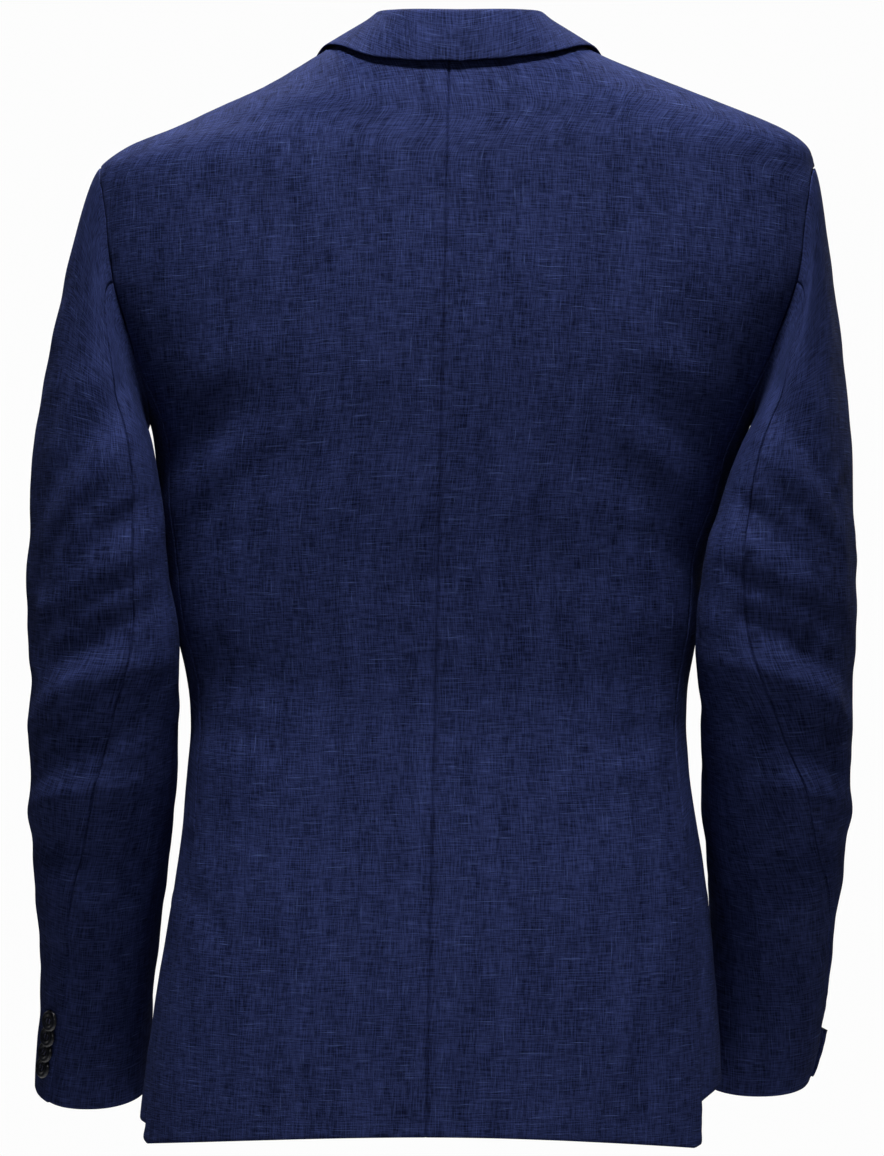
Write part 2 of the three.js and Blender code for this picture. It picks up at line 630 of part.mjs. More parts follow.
/** How far a point stands outside the body, and the direction out. */
function outsideBody(point) {
  const level = (p) => {
    const row = rowAt(BODY, 'z', p[2]);
    const half = (row.left - row.right) / 2;
    const depth = p[1] > row.mid ? row.back - row.mid : row.mid - row.front;
    const x = Math.abs(p[0] - (row.left + row.right) / 2) / half;
    const y = Math.abs(p[1] - row.mid) / depth;
    return (x ** BODY_SQUARE + y ** BODY_SQUARE) ** (1 / BODY_SQUARE);
  };
  const slope = [0, 1, 2].map((k) => {
    const step = [0, 0, 0];
    step[k] = 0.5;
    return level(add(point, step)) - level(add(point, step, -1));
  });
  return { gap: (level(point) - 1) / (size(slope) || 1), out: unit(slope) };
}

/** Push a point out until it stands at least a given distance from the body. */
function clearOf(point, least) {
  let moved = point;
  for (let i = 0; i < 4; i += 1) {
    const { gap, out } = outsideBody(moved);
    if (gap < least) {
      moved = add(moved, out, least - gap);
    }
  }
  return moved;
}

/** The highest point of the body over a place in plan, moved out. */
function overPlan(x, y, lift) {
  let low = -140;
  let high = 14;
  for (let i = 0; i < 40; i += 1) {
    const z = (low + high) / 2;
    if (outsideBody([x, y, z]).gap > 0) {
      high = z;
    } else {
      low = z;
    }
  }
  return add([x, y, low], outsideBody([x, y, low]).out, lift);
}

/** Middle line of the collar's wall at one place along it, from seam to outer edge. */
function collarProfile(t) {
  const side = t < 0 ? -1 : 1;
  const row = rowAt(COLLAR, 't', Math.abs(t));
  const seamAngle = side * row.angle;
  const seamHeight = (one) => (one.angle < NECK_END ? neckHeight(one.angle) : one.z);
  const seamNormal = bodyNormal(seamAngle, seamHeight(row));
  const deeper = 2.4 * smooth((Math.abs(t) - 6) / 1.5);
  const seam = add(bodyPoint(seamAngle, seamHeight(row)), seamNormal, -CLOTH / 2 - deeper);
  const level = rowAt(BODY, 'z', Math.min(row.fold_z, 0));
  const middle = (level.left + level.right) / 2;
  const fold = [middle + side * row.fold_x, row.fold_y, row.fold_z];
  const leaf = overPlan(middle + side * row.leaf_x, row.leaf_y, row.lift - CLOTH / 2);
  const down = unit(add(blend(seam, leaf, 0.5), fold, -1));
  const inward = unit(add(add([0, 0, 0], seamNormal, -1), down, dot(seamNormal, down)));
  const standTop = add(add(fold, inward, 2.4), down, 3.2);
  const leafTop = add(add(fold, inward, -2.6), down, 3);
  const stand = unit(add(standTop, seam, -1));
  const next = rowAt(COLLAR, 't', Math.abs(t) + 0.05);
  const along = add(bodyPoint(side * next.angle, seamHeight(next)), bodyPoint(seamAngle, seamHeight(row)), -1);
  const away = unit(cross(along, seamNormal));
  const open = away[2] < 0 ? add([0, 0, 0], away, -1) : away;
  const base = add(seam, open, 0.7 + (CLOTH / 2) * size(cross(stand, open)));
  const points = [base, blend(base, standTop, 0.35), blend(base, standTop, 0.7), standTop];
  points.push(add(blend(standTop, fold, 0.6), down, -0.4), fold);
  points.push(add(blend(leafTop, fold, 0.6), down, -0.4), leafTop);
  const end = smooth((Math.abs(t) - 6.2) / 1.8);
  for (const share of [0.2, 0.4, 0.6, 0.8, 1]) {
    const bulge = 2 * Math.sin(Math.PI * share) * (1 - end);
    const plain = add(blend(leafTop, leaf, share), inward, -bulge * 0.7);
    const [x, z] = gorge(share);
    const angle = side * angleFor(lengthForX(x, z + 0.6), z + 0.6);
    const laid = add(bodyPoint(angle, z + 0.6), bodyNormal(angle, z + 0.6), COLLAR_LIFT - CLOTH / 2);
    const clear = lerp(3.6, COLLAR_LIFT, end) - CLOTH / 2;
    const point = blend(plain, laid, end);
    const overCloth = Math.max(smooth((seamHeight(row) + 3 - point[2]) / 4), smooth((Math.abs(t) - 4.4) / 0.8));
    points.push(blend(point, clearOf(point, clear), overCloth));
  }
  return points;
}

/** The collar, one folded piece round the neck from notch to notch. */
function collar(material) {
  const ends = 8;
  const lines = steps(COLLAR_ROWS).map((s) => collarProfile(lerp(-ends, ends, s)));
  const outer = [];
  const inner = [];
  lines.forEach((line, j) => {
    const before = lines[Math.max(j - 1, 0)];
    const after = lines[Math.min(j + 1, lines.length - 1)];
    const rowOut = [];
    const rowIn = [];
    line.forEach((point, i) => {
      const along = add(after[i], before[i], -1);
      const across = add(line[Math.min(i + 1, line.length - 1)], line[Math.max(i - 1, 0)], -1);
      const flat = i < 8 || Math.abs(lerp(-ends, ends, j / COLLAR_ROWS)) < 7.4;
      const normal = flat ? unit(cross(along, across)) : outsideBody(point).out;
      rowOut.push(add(point, normal, CLOTH / 2));
      rowIn.push(add(point, normal, -CLOTH / 2));
    });
    outer.push(rowOut);
    inner.push(rowIn);
  });
  return wall('collar', outer, inner, material);
}

/** Where the sleeve leaves the armhole: point, direction of leaving, outward side. */
function sleeveStart(side, column) {
  const { angle, z } = armholePlace(column);
  const point = bodyPoint(side * angle, z);
  const normal = bodyNormal(side * angle, z);
  const ahead = armholePlace(column + 0.1);
  const behind = armholePlace(column - 0.1);
  const along = add(bodyPoint(side * ahead.angle, ahead.z),
    bodyPoint(side * behind.angle, behind.z), -1);
  const middle = bodyPoint(side * 90, -150);
  let inside = unit(cross(along, normal));
  if (dot(inside, add(middle, point, -1)) < 0) {
    inside = add([0, 0, 0], inside, -1);
  }
  const turn = rad(lerp(14, 86, smooth((-80 - z) / 165)));
  const leave = add(add([0, 0, 0], inside, Math.cos(turn)), normal, Math.sin(turn));
  const out = add(add([0, 0, 0], normal, Math.cos(turn)), inside, -Math.sin(turn));
  return { point: add(point, leave, SEAM_GAP), leave, out };
}

/** Degrees round the sleeve for each column of the armhole. */
function sleeveDegrees() {
  const total = ARM_BACK + ARM_SIDE + ARM_FRONT;
  const lengths = [0];
  for (let c = 1; c <= total; c += 1) {
    const a = armholePlace(c);
    const b = armholePlace(c - 1);
    const span = size(add(bodyPoint(a.angle, a.z), bodyPoint(b.angle, b.z), -1));
    lengths.push(lengths[c - 1] + span);
  }
  return lengths.map((length) => -360 * (length / lengths[total]));
}
const DEGREES = sleeveDegrees();

/** Degrees round the sleeve at a column and height; the seams wander down the arm. */
function sleeveAngle(side, column, z) {
  const total = ARM_BACK + ARM_SIDE + ARM_FRONT;
  const row = rowAt(SLEEVE, 'z', Math.min(z, SLEEVE[0].z));
  const i = clamp(Math.floor(column), 0, total - 1);
  const own = lerp(DEGREES[i], DEGREES[i + 1], column - i);
  const back = DEGREES[SLEEVE_SEAM_BACK];
  const front = DEGREES[SLEEVE_SEAM_FRONT];
  const wantBack = row[side > 0 ? 'back_left' : 'back_right'];
  const wantFront = SLEEVE_FRONT_SEAM - 360;
  if (own > back) {
    return lerp(0, wantBack, own / back);
  }
  if (own > front) {
    return lerp(wantBack, wantFront, (own - back) / (front - back));
  }
  return lerp(wantFront, -360, (own - front) / (-360 - front));
}

/** A point on a sleeve section below the cap. */
function sleeveRing(side, degrees, z) {
  const row = rowAt(SLEEVE, 'z', z);
  const outer = side > 0 ? row.out_left : row.out_right;
  const inner = side > 0 ? row.in_left : row.in_right;
  const lean = rad(side > 0 ? row.lean_left : row.lean_right);
  const a = rad(degrees);
  const out = reach(a, SLEEVE_SQUARE);
  const forward = row.half * out * Math.sin(a);
  return [
    side * ((outer + inner) / 2 + ((outer - inner) / 2) * out * Math.cos(a)
      + row.press * out * Math.sin(a)),
    (side > 0 ? row.mid_left : row.mid_right) - forward * Math.cos(lean),
    z + forward * Math.sin(lean),
  ];
}

/** A point on the sleeve: column round it and place down it from 0 to 1. */
function sleeveBase(side, column, down) {
  const capShare = CAP_ROWS / SLEEVE_ROWS;
  const capEnd = SLEEVE[0].z;
  if (down >= capShare) {
    const z = lerp(capEnd, SLEEVE[SLEEVE.length - 1].z, (down - capShare) / (1 - capShare));
    return sleeveRing(side, sleeveAngle(side, column, z), z);
  }
  const start = sleeveStart(side, column);
  const degrees = sleeveAngle(side, column, capEnd);
  const end = sleeveRing(side, degrees, capEnd);
  const endWay = unit(add(sleeveRing(side, degrees, capEnd - 4), end, -1));
  const span = size(add(end, start.point, -1));
  const t = down / capShare;
  const top = smooth((start.point[2] + 200) / 110);
  return [0, 1, 2].map((k) => ease(
    start.point[k], start.leave[k] * span * lerp(0.42, 0.3, top),
    end[k], endWay[k] * span * lerp(0.95, 0.7, top), t));
}

/** Outward direction of the sleeve at a place. */
function sleeveNormal(side, column, down) {
  if (down <= 0) {
    return sleeveStart(side, column).out;
  }
  const around = add(sleeveBase(side, column + 0.2, down), sleeveBase(side, column - 0.2, down), -1);
  const low = Math.min(1, down + 0.01);
  const along = add(sleeveBase(side, column, low), sleeveBase(side, column, down - 0.01), -1);
  return unit(add([0, 0, 0], cross(along, around), side));
}

/** A point of the sleeve's cloth, with its folds. */
function sleevePoint(side, column, down, lift) {
  const point = sleeveBase(side, column, down);
  const degrees = sleeveAngle(side, column, Math.min(point[2], SLEEVE[0].z));
  const around = degrees < -180 ? degrees + 360 : degrees;
  const fade = smooth((down - 0.06) / 0.16) * smooth((1 - down) / 0.12);
  const folds = foldsAt(SLEEVE_FOLDS, around, point[2]) * fade;
  return add(point, sleeveNormal(side, column, down), lift + folds);
}

/** One sleeve piece between two seam columns, with its vent edge at the cuff. */
function sleevePanel(name, side, columns, ventAt, material) {
  const layer = (depth) => steps(SLEEVE_ROWS).map((down) => columns.map((column, i) => {
    const z = sleeveBase(side, column, down)[2];
    const vent = i === ventAt ? smooth((CUFF_VENT_TOP - z) / 30) : 0;
    const under = name.includes('under');
    const atCap = 1 + 2 * (1 - smooth(down / 0.4));
    const edge = (i === 0 ? 1 : 0) - (i === columns.length - 1 ? 1 : 0);
    const shift = edge * atCap * (HALF_GAP / COLUMN_WIDTH) + vent * (under ? 0.16 : -0.02);
    return sleevePoint(side, column + shift, down, vent * (under ? -0.9 : 0.9) - depth);
  }));
  return wall(name, layer(0), layer(CLOTH), material);
}

/** Both pieces of a sleeve: the wide top sleeve and the under sleeve. */
function sleeve(side, material) {
  const total = ARM_BACK + ARM_SIDE + ARM_FRONT;
  const upper = [SLEEVE_SEAM_FRONT];
  for (let c = SLEEVE_SEAM_FRONT + 1; c < total + SLEEVE_SEAM_BACK; c += 1) {
    upper.push(c);
  }
  upper.push(total + SLEEVE_SEAM_BACK);
  const under = [SLEEVE_SEAM_BACK];
  for (let c = SLEEVE_SEAM_BACK + 1; c < SLEEVE_SEAM_FRONT; c += 1) {
    under.push(c);
  }
  under.push(SLEEVE_SEAM_FRONT);
  const wrapped = upper.map((c) => (c >= total ? c - total : c));
  const label = sideName(side);
  return [
    sleevePanel(`sleeve_top_${label}`, side, wrapped, wrapped.length - 1, material),
    sleevePanel(`sleeve_under_${label}`, side, under, 0, material),
  ];
}

/** A pocket flap lying on the front and side, with rounded lower corners. */
function flap(side, material) {
  const columns = 12;
  const rows = 4;
  const grid = [];
  for (let j = 0; j <= rows; j += 1) {
    grid.push(steps(columns).map((t) => {
      const start = lengthTo(FLAP.start_angle, FLAP.top);
      const fromEnd = Math.min(t, 1 - t) * FLAP.wide;
      const round = FLAP.corner * (1 - Math.sqrt(1 - (1 - clamp(fromEnd / FLAP.corner, 0, 1)) ** 2));
      const high = (FLAP.high - round * 0.9) * (j / rows);
      return [start + FLAP.wide * t, FLAP.top + FLAP.slant * (1 - t) * 0.5 - high];
    }));
  }
  const lift = (length, z) => FLAP_LIFT + 0.8 * smooth((FLAP.top - z) / FLAP.high)
    + Math.max(0, lapAt(1, length, z));
  return bodyWall(`pocket_flap_${sideName(side)}`, side, grid, lift, material, 1.6);
}

/** A round button with a raised rim, its face along the given direction. */
function button(name, centre, face, radius, thick, material) {
  const profile = [
    new THREE.Vector2(0, -thick / 2),
    new THREE.Vector2(radius * 0.85, -thick / 2),
    new THREE.Vector2(radius, thick * 0.1),
    new THREE.Vector2(radius * 0.9, thick / 2),
    new THREE.Vector2(radius * 0.74, thick / 2),
    new THREE.Vector2(radius * 0.6, thick * 0.22),
    new THREE.Vector2(0, thick * 0.22),
  ];
  const sides = 16;
  const turn = new THREE.Quaternion().setFromUnitVectors(
    new THREE.Vector3(0, 0, 1), new THREE.Vector3(...unit(face)));
  const place = (r, angle, h) => new THREE.Vector3(r * Math.cos(angle), r * Math.sin(angle), h)
    .applyQuaternion(turn).add(new THREE.Vector3(...centre)).toArray();
  const points = [place(0, 0, profile[0].y)];
  for (const { x, y } of profile.slice(1, -1)) {
    for (let k = 0; k < sides; k += 1) points.push(place(x, (k / sides) * 2 * Math.PI, y));
  }
  points.push(place(0, 0, profile[profile.length - 1].y));
  const faces = [];
  const rings = profile.length - 2;
  for (let k = 0; k < sides; k += 1) {
    const next = (k + 1) % sides;
    faces.push([0, 1 + next, 1 + k]);
    for (let r = 0; r < rings - 1; r += 1) {
      const a = 1 + r * sides;
      faces.push([a + k, a + next, a + sides + next], [a + k, a + sides + next, a + sides + k]);
    }
    const last = 1 + (rings - 1) * sides;
    faces.push([last + k, last + next, points.length - 1]);
  }
  return solid(name, points, faces, material);
}

/** Four overlapping buttons by the vent of one cuff. */
function cuffButtons(side, material) {
  const { radius, thick, tilt, count, top, pitch } = CUFF_BUTTON;
  const lift = CUFF_BUTTON[`lift_${sideName(side)}`];
  const fromVent = CUFF_BUTTON[`from_vent_${sideName(side)}`];
  const total = ARM_BACK + ARM_SIDE + ARM_FRONT;
  const column = (SLEEVE_SEAM_BACK - fromVent + total) % total;
  const z0 = SLEEVE[0].z;
  const z1 = SLEEVE[SLEEVE.length - 1].z;
  const capShare = CAP_ROWS / SLEEVE_ROWS;
  return Array.from({ length: count }, (_, k) => {
    const z = top - k * pitch;
    const down = capShare + (1 - capShare) * ((z - z0) / (z1 - z0));
    const normal = sleeveNormal(side, column, down);
    const along = unit(add(sleeveBase(side, column, down + 0.01), sleeveBase(side, column, down), -1));
    const centre = add(sleeveBase(side, column, down), normal, lift);
    const face = add(add([0, 0, 0], normal, Math.cos(rad(tilt))), along, -Math.sin(rad(tilt)));
    return button(`cuff_button_${sideName(side)}_${k + 1}`, centre, face, radius, thick, material);
  });
}

/** The two buttons of the front, in its middle on the left edge. */
function frontButtons(material) {
  return FRONT_BUTTON.heights.map((z, k) => {
    const normal = bodyNormal(180, z);
    const centre = add(bodyPoint(180, z), normal, LAP_OVER + FRONT_BUTTON.lift);
    return button(`front_button_${k + 1}`, centre, normal, FRONT_BUTTON.radius,
      FRONT_BUTTON.thick, material);
  });
}

/** The whole blazer. */
function blazer() {
  const navy = new THREE.MeshStandardMaterial({
    name: 'linen', color: 0x232b66, roughness: 0.9, metalness: 0, side: THREE.DoubleSide });
  const horn = new THREE.MeshStandardMaterial({
    name: 'button', color: 0x12131c, roughness: 0.35, metalness: 0 });
  const group = new THREE.Group();
  group.name = 'blazer';
  for (const side of [1, -1]) {
    group.add(backPanel(side, navy), sidePanel(side, navy), frontPanel(side, navy));
    group.add(lapel(side, navy), flap(side, navy), ...sleeve(side, navy));
    group.add(...cuffButtons(side, horn));
  }
  group.add(collar(navy), ...frontButtons(horn));
  return group;
}

export default blazer();
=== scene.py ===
"""A single breasted linen blazer, filled out as if worn, with no wearer inside.

Shape tables are in millimetres in the part's own frame: +X is the wearer's left,
-Y the front and +Z up. Meshes are in metres.
"""
import logging
import math
from dataclasses import dataclass, field, replace
from enum import Enum
from typing import Callable, Sequence

import bpy
import numpy as np
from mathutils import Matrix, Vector


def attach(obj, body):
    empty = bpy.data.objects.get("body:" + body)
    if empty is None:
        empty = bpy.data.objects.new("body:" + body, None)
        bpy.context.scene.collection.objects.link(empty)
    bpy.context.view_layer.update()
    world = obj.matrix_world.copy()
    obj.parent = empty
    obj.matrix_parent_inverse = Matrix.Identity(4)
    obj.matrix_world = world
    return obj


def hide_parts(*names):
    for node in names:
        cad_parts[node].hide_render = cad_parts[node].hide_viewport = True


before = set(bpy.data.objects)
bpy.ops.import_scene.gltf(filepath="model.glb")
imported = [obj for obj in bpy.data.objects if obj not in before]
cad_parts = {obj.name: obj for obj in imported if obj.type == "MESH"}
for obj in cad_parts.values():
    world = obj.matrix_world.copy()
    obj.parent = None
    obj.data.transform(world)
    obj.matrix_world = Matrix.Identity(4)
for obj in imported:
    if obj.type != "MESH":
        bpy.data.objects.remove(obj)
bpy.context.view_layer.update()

LOG = logging.getLogger("blazer")
MM = 0.001
# How often a search between two values halves the span between them.
HALVINGS = 36
# Degrees round the body, counted from the centre back.
SHOULDER = 90.0
CENTRE_FRONT = 180.0
# Numbers of a mix node's colour sockets, whose names its other sockets have too.
MIX_A, MIX_B, MIXED = 6, 7, 2
Array = np.ndarray
Curve = Callable[[Array], Array]


class Side(Enum):
    """The wearer's side that a piece is on."""

    LEFT = 1
    RIGHT = -1

    @property
    def label(self) -> str:
        """The side's name as the nodes use it."""
        return self.name.lower()


class Edge(Enum):
    """How an edge of a cloth piece is finished."""

    SEAM = "sewn to the next piece, sunk in a shallow groove"
    FREE = "turned in and pressed thin"


class SleevePart(Enum):
    """The two pieces of a sleeve."""

    TOP = "top"
    UNDER = "under"


def lerp(a: Array | float, b: Array | float, t: Array | float) -> Array | float:
    """Mix two values."""
    return a + (b - a) * t


def smooth(t: Array | float) -> Array:
    """Soft step from 0 to 1."""
    held = np.clip(t, 0.0, 1.0)
    return held * held * (3.0 - 2.0 * held)


def ease(a: Array, slope_a: Array, b: Array, slope_b: Array, t: Array) -> Array:
    """Smooth value from a to b.

    Args:
        a: Value at the start.
        slope_a: Slope at the start.
        b: Value at the end.
        slope_b: Slope at the end.
        t: Place from 0 to 1.

    Returns:
        The value at t.
    """
    u = t * t
    w = u * t
    return (
        a * (2 * w - 3 * u + 1)
        + slope_a * (w - 2 * u + t)
        + b * (3 * u - 2 * w)
        + slope_b * (w - u)
    )


def unit(vectors: Array) -> Array:
    """Vectors of length one."""
    length = np.linalg.norm(vectors, axis=-1, keepdims=True)
    return vectors / np.where(length < 1e-9, 1.0, length)


def dots(a: Array, b: Array) -> Array:
    """Dot product of vectors, kept as a last axis of one."""
    return np.sum(a * b, axis=-1, keepdims=True)


def paired(x: Array, z: Array) -> Array:
    """Places [x, z] on a last axis of two."""
    return np.stack([x, z], axis=-1)


def running(points: Array, axis: int) -> Array:
    """Length run from the first point of each line of a grid.

    Args:
        points: A grid of points or places.
        axis: The axis that the lines run along.

    Returns:
        The length at every point.
    """
    steps = np.linalg.norm(np.diff(points, axis=axis), axis=-1)
    ends = [(0, 0)] * steps.ndim
    ends[axis] = (1, 0)
    return np.pad(np.cumsum(steps, axis=axis), ends)


def neighbours(rows: Array, i: Array) -> tuple[Array, Array]:
    """Each row's value at its own place, and the value after it."""
    here, after = (np.take_along_axis(rows, (i + k)[..., None], -1)[..., 0] for k in (0, 1))
    return here, after


def band(z: Array, top: float, top_soft: float, bottom: float, bottom_soft: float) -> Array:
    """Share that is 1 between two heights.

    Args:
        z: Heights.
        top: Height where the share starts from 0, going down.
        top_soft: How far down it takes to reach 1.
        bottom: Height where it is back at 0.
        bottom_soft: How far up it takes to reach 1 from there.

    Returns:
        The share at each height.
    """
    return smooth((top - z) / top_soft) * smooth((z - bottom) / bottom_soft)


def reach(angle: Array, square: float) -> Array:
    """Distance out to a rounded section, as a share of its half width.

    Args:
        angle: Direction in radians.
        square: Fullness of the section, where 2 is an ellipse.

    Returns:
        The distance out in that direction.
    """
    s = np.abs(np.sin(angle)) ** square
    c = np.abs(np.cos(angle)) ** square
    return (s + c) ** (-1.0 / square)


class Table:
    """A short table of sizes that can be read between its rows."""

    def __init__(self, key: str, columns: str, rows: Sequence[Sequence[float]]) -> None:
        """Keep the rows in rising order of the key.

        Args:
            key: Name of the column that the table is read by.
            columns: Names of all columns, in their order.
            rows: The sizes.
        """
        names = columns.split()
        data = np.array(rows, dtype=float)
        data = data[np.argsort(data[:, names.index(key)])]
        self.columns = {name: data[:, i] for i, name in enumerate(names)}
        self.key = self.columns[key]

    def read(self, name: str, at: Array | float) -> Array:
        """One column between the rows.

        Args:
            name: The column.
            at: Places along the key.

        Returns:
            The column's values there.
        """
        x, y = self.key, self.columns[name]
        at = np.asarray(at, dtype=float)
        last = len(x) - 1
        i = np.clip(np.searchsorted(x, at) - 1, 0, last - 1)
        before, after = np.maximum(i - 1, 0), np.minimum(i + 2, last)
        span = x[i + 1] - x[i]
        t = np.clip((at - x[i]) / span, 0.0, 1.0)
        slope_here = (y[i + 1] - y[before]) / (x[i + 1] - x[before]) * span
        slope_next = (y[after] - y[i]) / (x[after] - x[i]) * span
        return ease(y[i], slope_here, y[i + 1], slope_next, t)


@dataclass
class Folds:
    """Soft ridges and troughs, each along a slanted line of its own.

    Rows are: place round and height of the middle, slope, half length, half
    width, height on the left side, height on the right side. Places round are in
    millimetres on the body and in degrees on a sleeve, the rest in millimetres.
    """

    rows: list[tuple[float, ...]]
    gain: float = 1.0
    bend: float = 0.35

    def at(self, side: Side, around: Array, z: Array) -> Array:
        """Height of all folds together.

        Args:
            side: The wearer's side.
            around: Places round.
            z: Heights.

        Returns:
            Distance out at each place.
        """
        total = np.zeros(np.broadcast(around, z).shape)
        for place, height, slope, long, wide, left, right in self.rows:
            run = math.sqrt(1 + slope * slope)
            da, dz = around - place, z - height
            along = (da + dz * slope) / run / long
            over = (dz - da * slope) / run / wide
            over = over + self.bend * along * along
            deep = left if side is Side.LEFT else right
            total = total + deep * np.exp(-along * along - over * over)
        return total * self.gain


@dataclass
class Ripple:
    """Slight unevenness of pressed linen, as a sum of long soft waves."""

    seed: int = 11
    count: int = 36
    shortest: float = 22.0
    longest: float = 95.0
    height: float = 0.42

    def __post_init__(self) -> None:
        """Draw the waves once, from a fixed seed."""
        rng = np.random.default_rng(self.seed)
        wave = np.exp(rng.uniform(np.log(self.shortest), np.log(self.longest), self.count))
        turn = rng.uniform(0, math.pi, self.count)
        self.ways = np.stack([np.cos(turn), np.sin(turn)]) * 2 * math.pi / wave
        self.phase = rng.uniform(0, 2 * math.pi, self.count)
        self.share = wave / self.longest / math.sqrt(self.count / 2)

    def at(self, around: Array, z: Array) -> Array:
        """Height of the waves.

        Args:
            around: Places round.
            z: Heights.

        Returns:
            Distance out at each place.
        """
        total = np.zeros(np.broadcast(around, z).shape)
        for x, y, phase, share in zip(*self.ways, self.phase, self.share):
            total = total + share * np.sin(around * x + z * y + phase)
        return total * self.height


BODY_FOLDS = Folds([
    (196, -262, -0.9, 52, 15, -2.4, -2.4),
    (172, -232, -1.1, 60, 18, 2.2, 2.2),
    (150, -300, -0.6, 70, 20, -1.6, -1.9),
    (120, -420, 0.15, 60, 18, -1.2, -0.9),
    (330, -395, 0.5, 60, 15, -1.6, -1.6),
    (300, -300, 0.8, 60, 18, -1.8, -1.8),
], gain=1.4)
BODY_CREASES = Folds([
    (168, -262, -0.75, 46, 8, -1.0, -0.8),
    (150, -278, -0.8, 50, 9, 0.7, 0.8),
    (150, -330, -0.35, 46, 10, -0.7, -0.9),
    (128, -372, -0.2, 52, 12, 0.7, 0.5),
    (142, -455, 0.1, 50, 11, -0.9, -0.7),
    (120, -482, 0.16, 44, 10, 0.5, 0.7),
    (96, -520, 0.1, 60, 14, -0.5, -0.6),
    (165, -575, 0.9, 34, 9, -1.3, -0.5),
    (130, -640, 2.4, 70, 16, 0.9, 0.7),
    (60, -610, 4.0, 90, 20, -0.7, -0.8),
    (95, -150, 2.2, 60, 16, -0.8, -0.7),
    (60, -60, 1.2, 50, 14, 0.6, 0.5),
    (28, -110, 3.0, 60, 16, -0.4, -0.5),
    (340, -430, 0.3, 44, 9, -1.0, -1.0),
    (320, -470, -0.2, 46, 10, 0.8, 0.7),
    (290, -380, 0.6, 50, 12, 0.8, 0.9),
    (262, -330, 0.9, 44, 11, -0.8, -0.7),
], gain=1.5)
SLEEVE_FOLDS = Folds([
    (-70, -250, -0.9, 52, 13, -3.2, -3.2),
    (-62, -286, -0.8, 56, 14, 3, 3),
    (-78, -322, -0.8, 50, 12, -3.4, -3.4),
    (-50, -352, -0.7, 48, 15, 2.6, 2.6),
    (-66, -392, -0.6, 58, 12, -3, -3),
    (-48, -424, -0.5, 44, 15, 2.6, 2.6),
    (-72, -462, -0.35, 46, 13, -2.8, -2.8),
    (-40, -500, -0.3, 52, 15, 2.4, 2.4),
    (-80, -540, 0.2, 40, 14, -2, -2),
    (70, -280, 0.9, 56, 14, -3, -3),
    (62, -330, 0.8, 50, 15, 2.6, 2.6),
    (84, -400, 0.5, 44, 13, -2.6, -2.6),
    (96, -455, 0.3, 46, 14, 2.2, 2.2),
], gain=1.35)
SLEEVE_CREASES = Folds([
    (-96, -236, -0.7, 34, 7, -1.4, -1.1),
    (-48, -232, -1.3, 34, 9, 0.9, 0.8),
    (-92, -300, -0.5, 30, 8, 1.1, 0.9),
    (-40, -318, -0.9, 34, 8, -1.1, -0.9),
    (-88, -356, -0.4, 32, 7, -1.3, -1.4),
    (-30, -380, -0.6, 34, 9, -1.0, -0.8),
    (-92, -414, -0.2, 32, 8, 1.2, 1.0),
    (-36, -452, -0.3, 36, 8, -1.1, -1.2),
    (-84, -492, -0.1, 30, 8, 1.2, 1.1),
    (-44, -532, 0.1, 38, 9, -1.0, -0.8),
    (-74, -572, 0.3, 36, 9, 0.9, 1.0),
    (-50, -604, 0.2, 34, 9, -0.8, -0.9),
    (20, -420, 0.5, 46, 12, -1.0, -0.8),
    (10, -350, 0.8, 44, 12, 0.8, 0.9),
    (30, -500, 0.2, 44, 12, 0.8, 0.8),
    (60, -540, 0.1, 40, 10, -0.9, -1.0),
    (96, -340, 0.9, 36, 9, 1.0, 1.0),
    (104, -420, 0.4, 36, 9, -1.0, -1.1),
], gain=1.6)


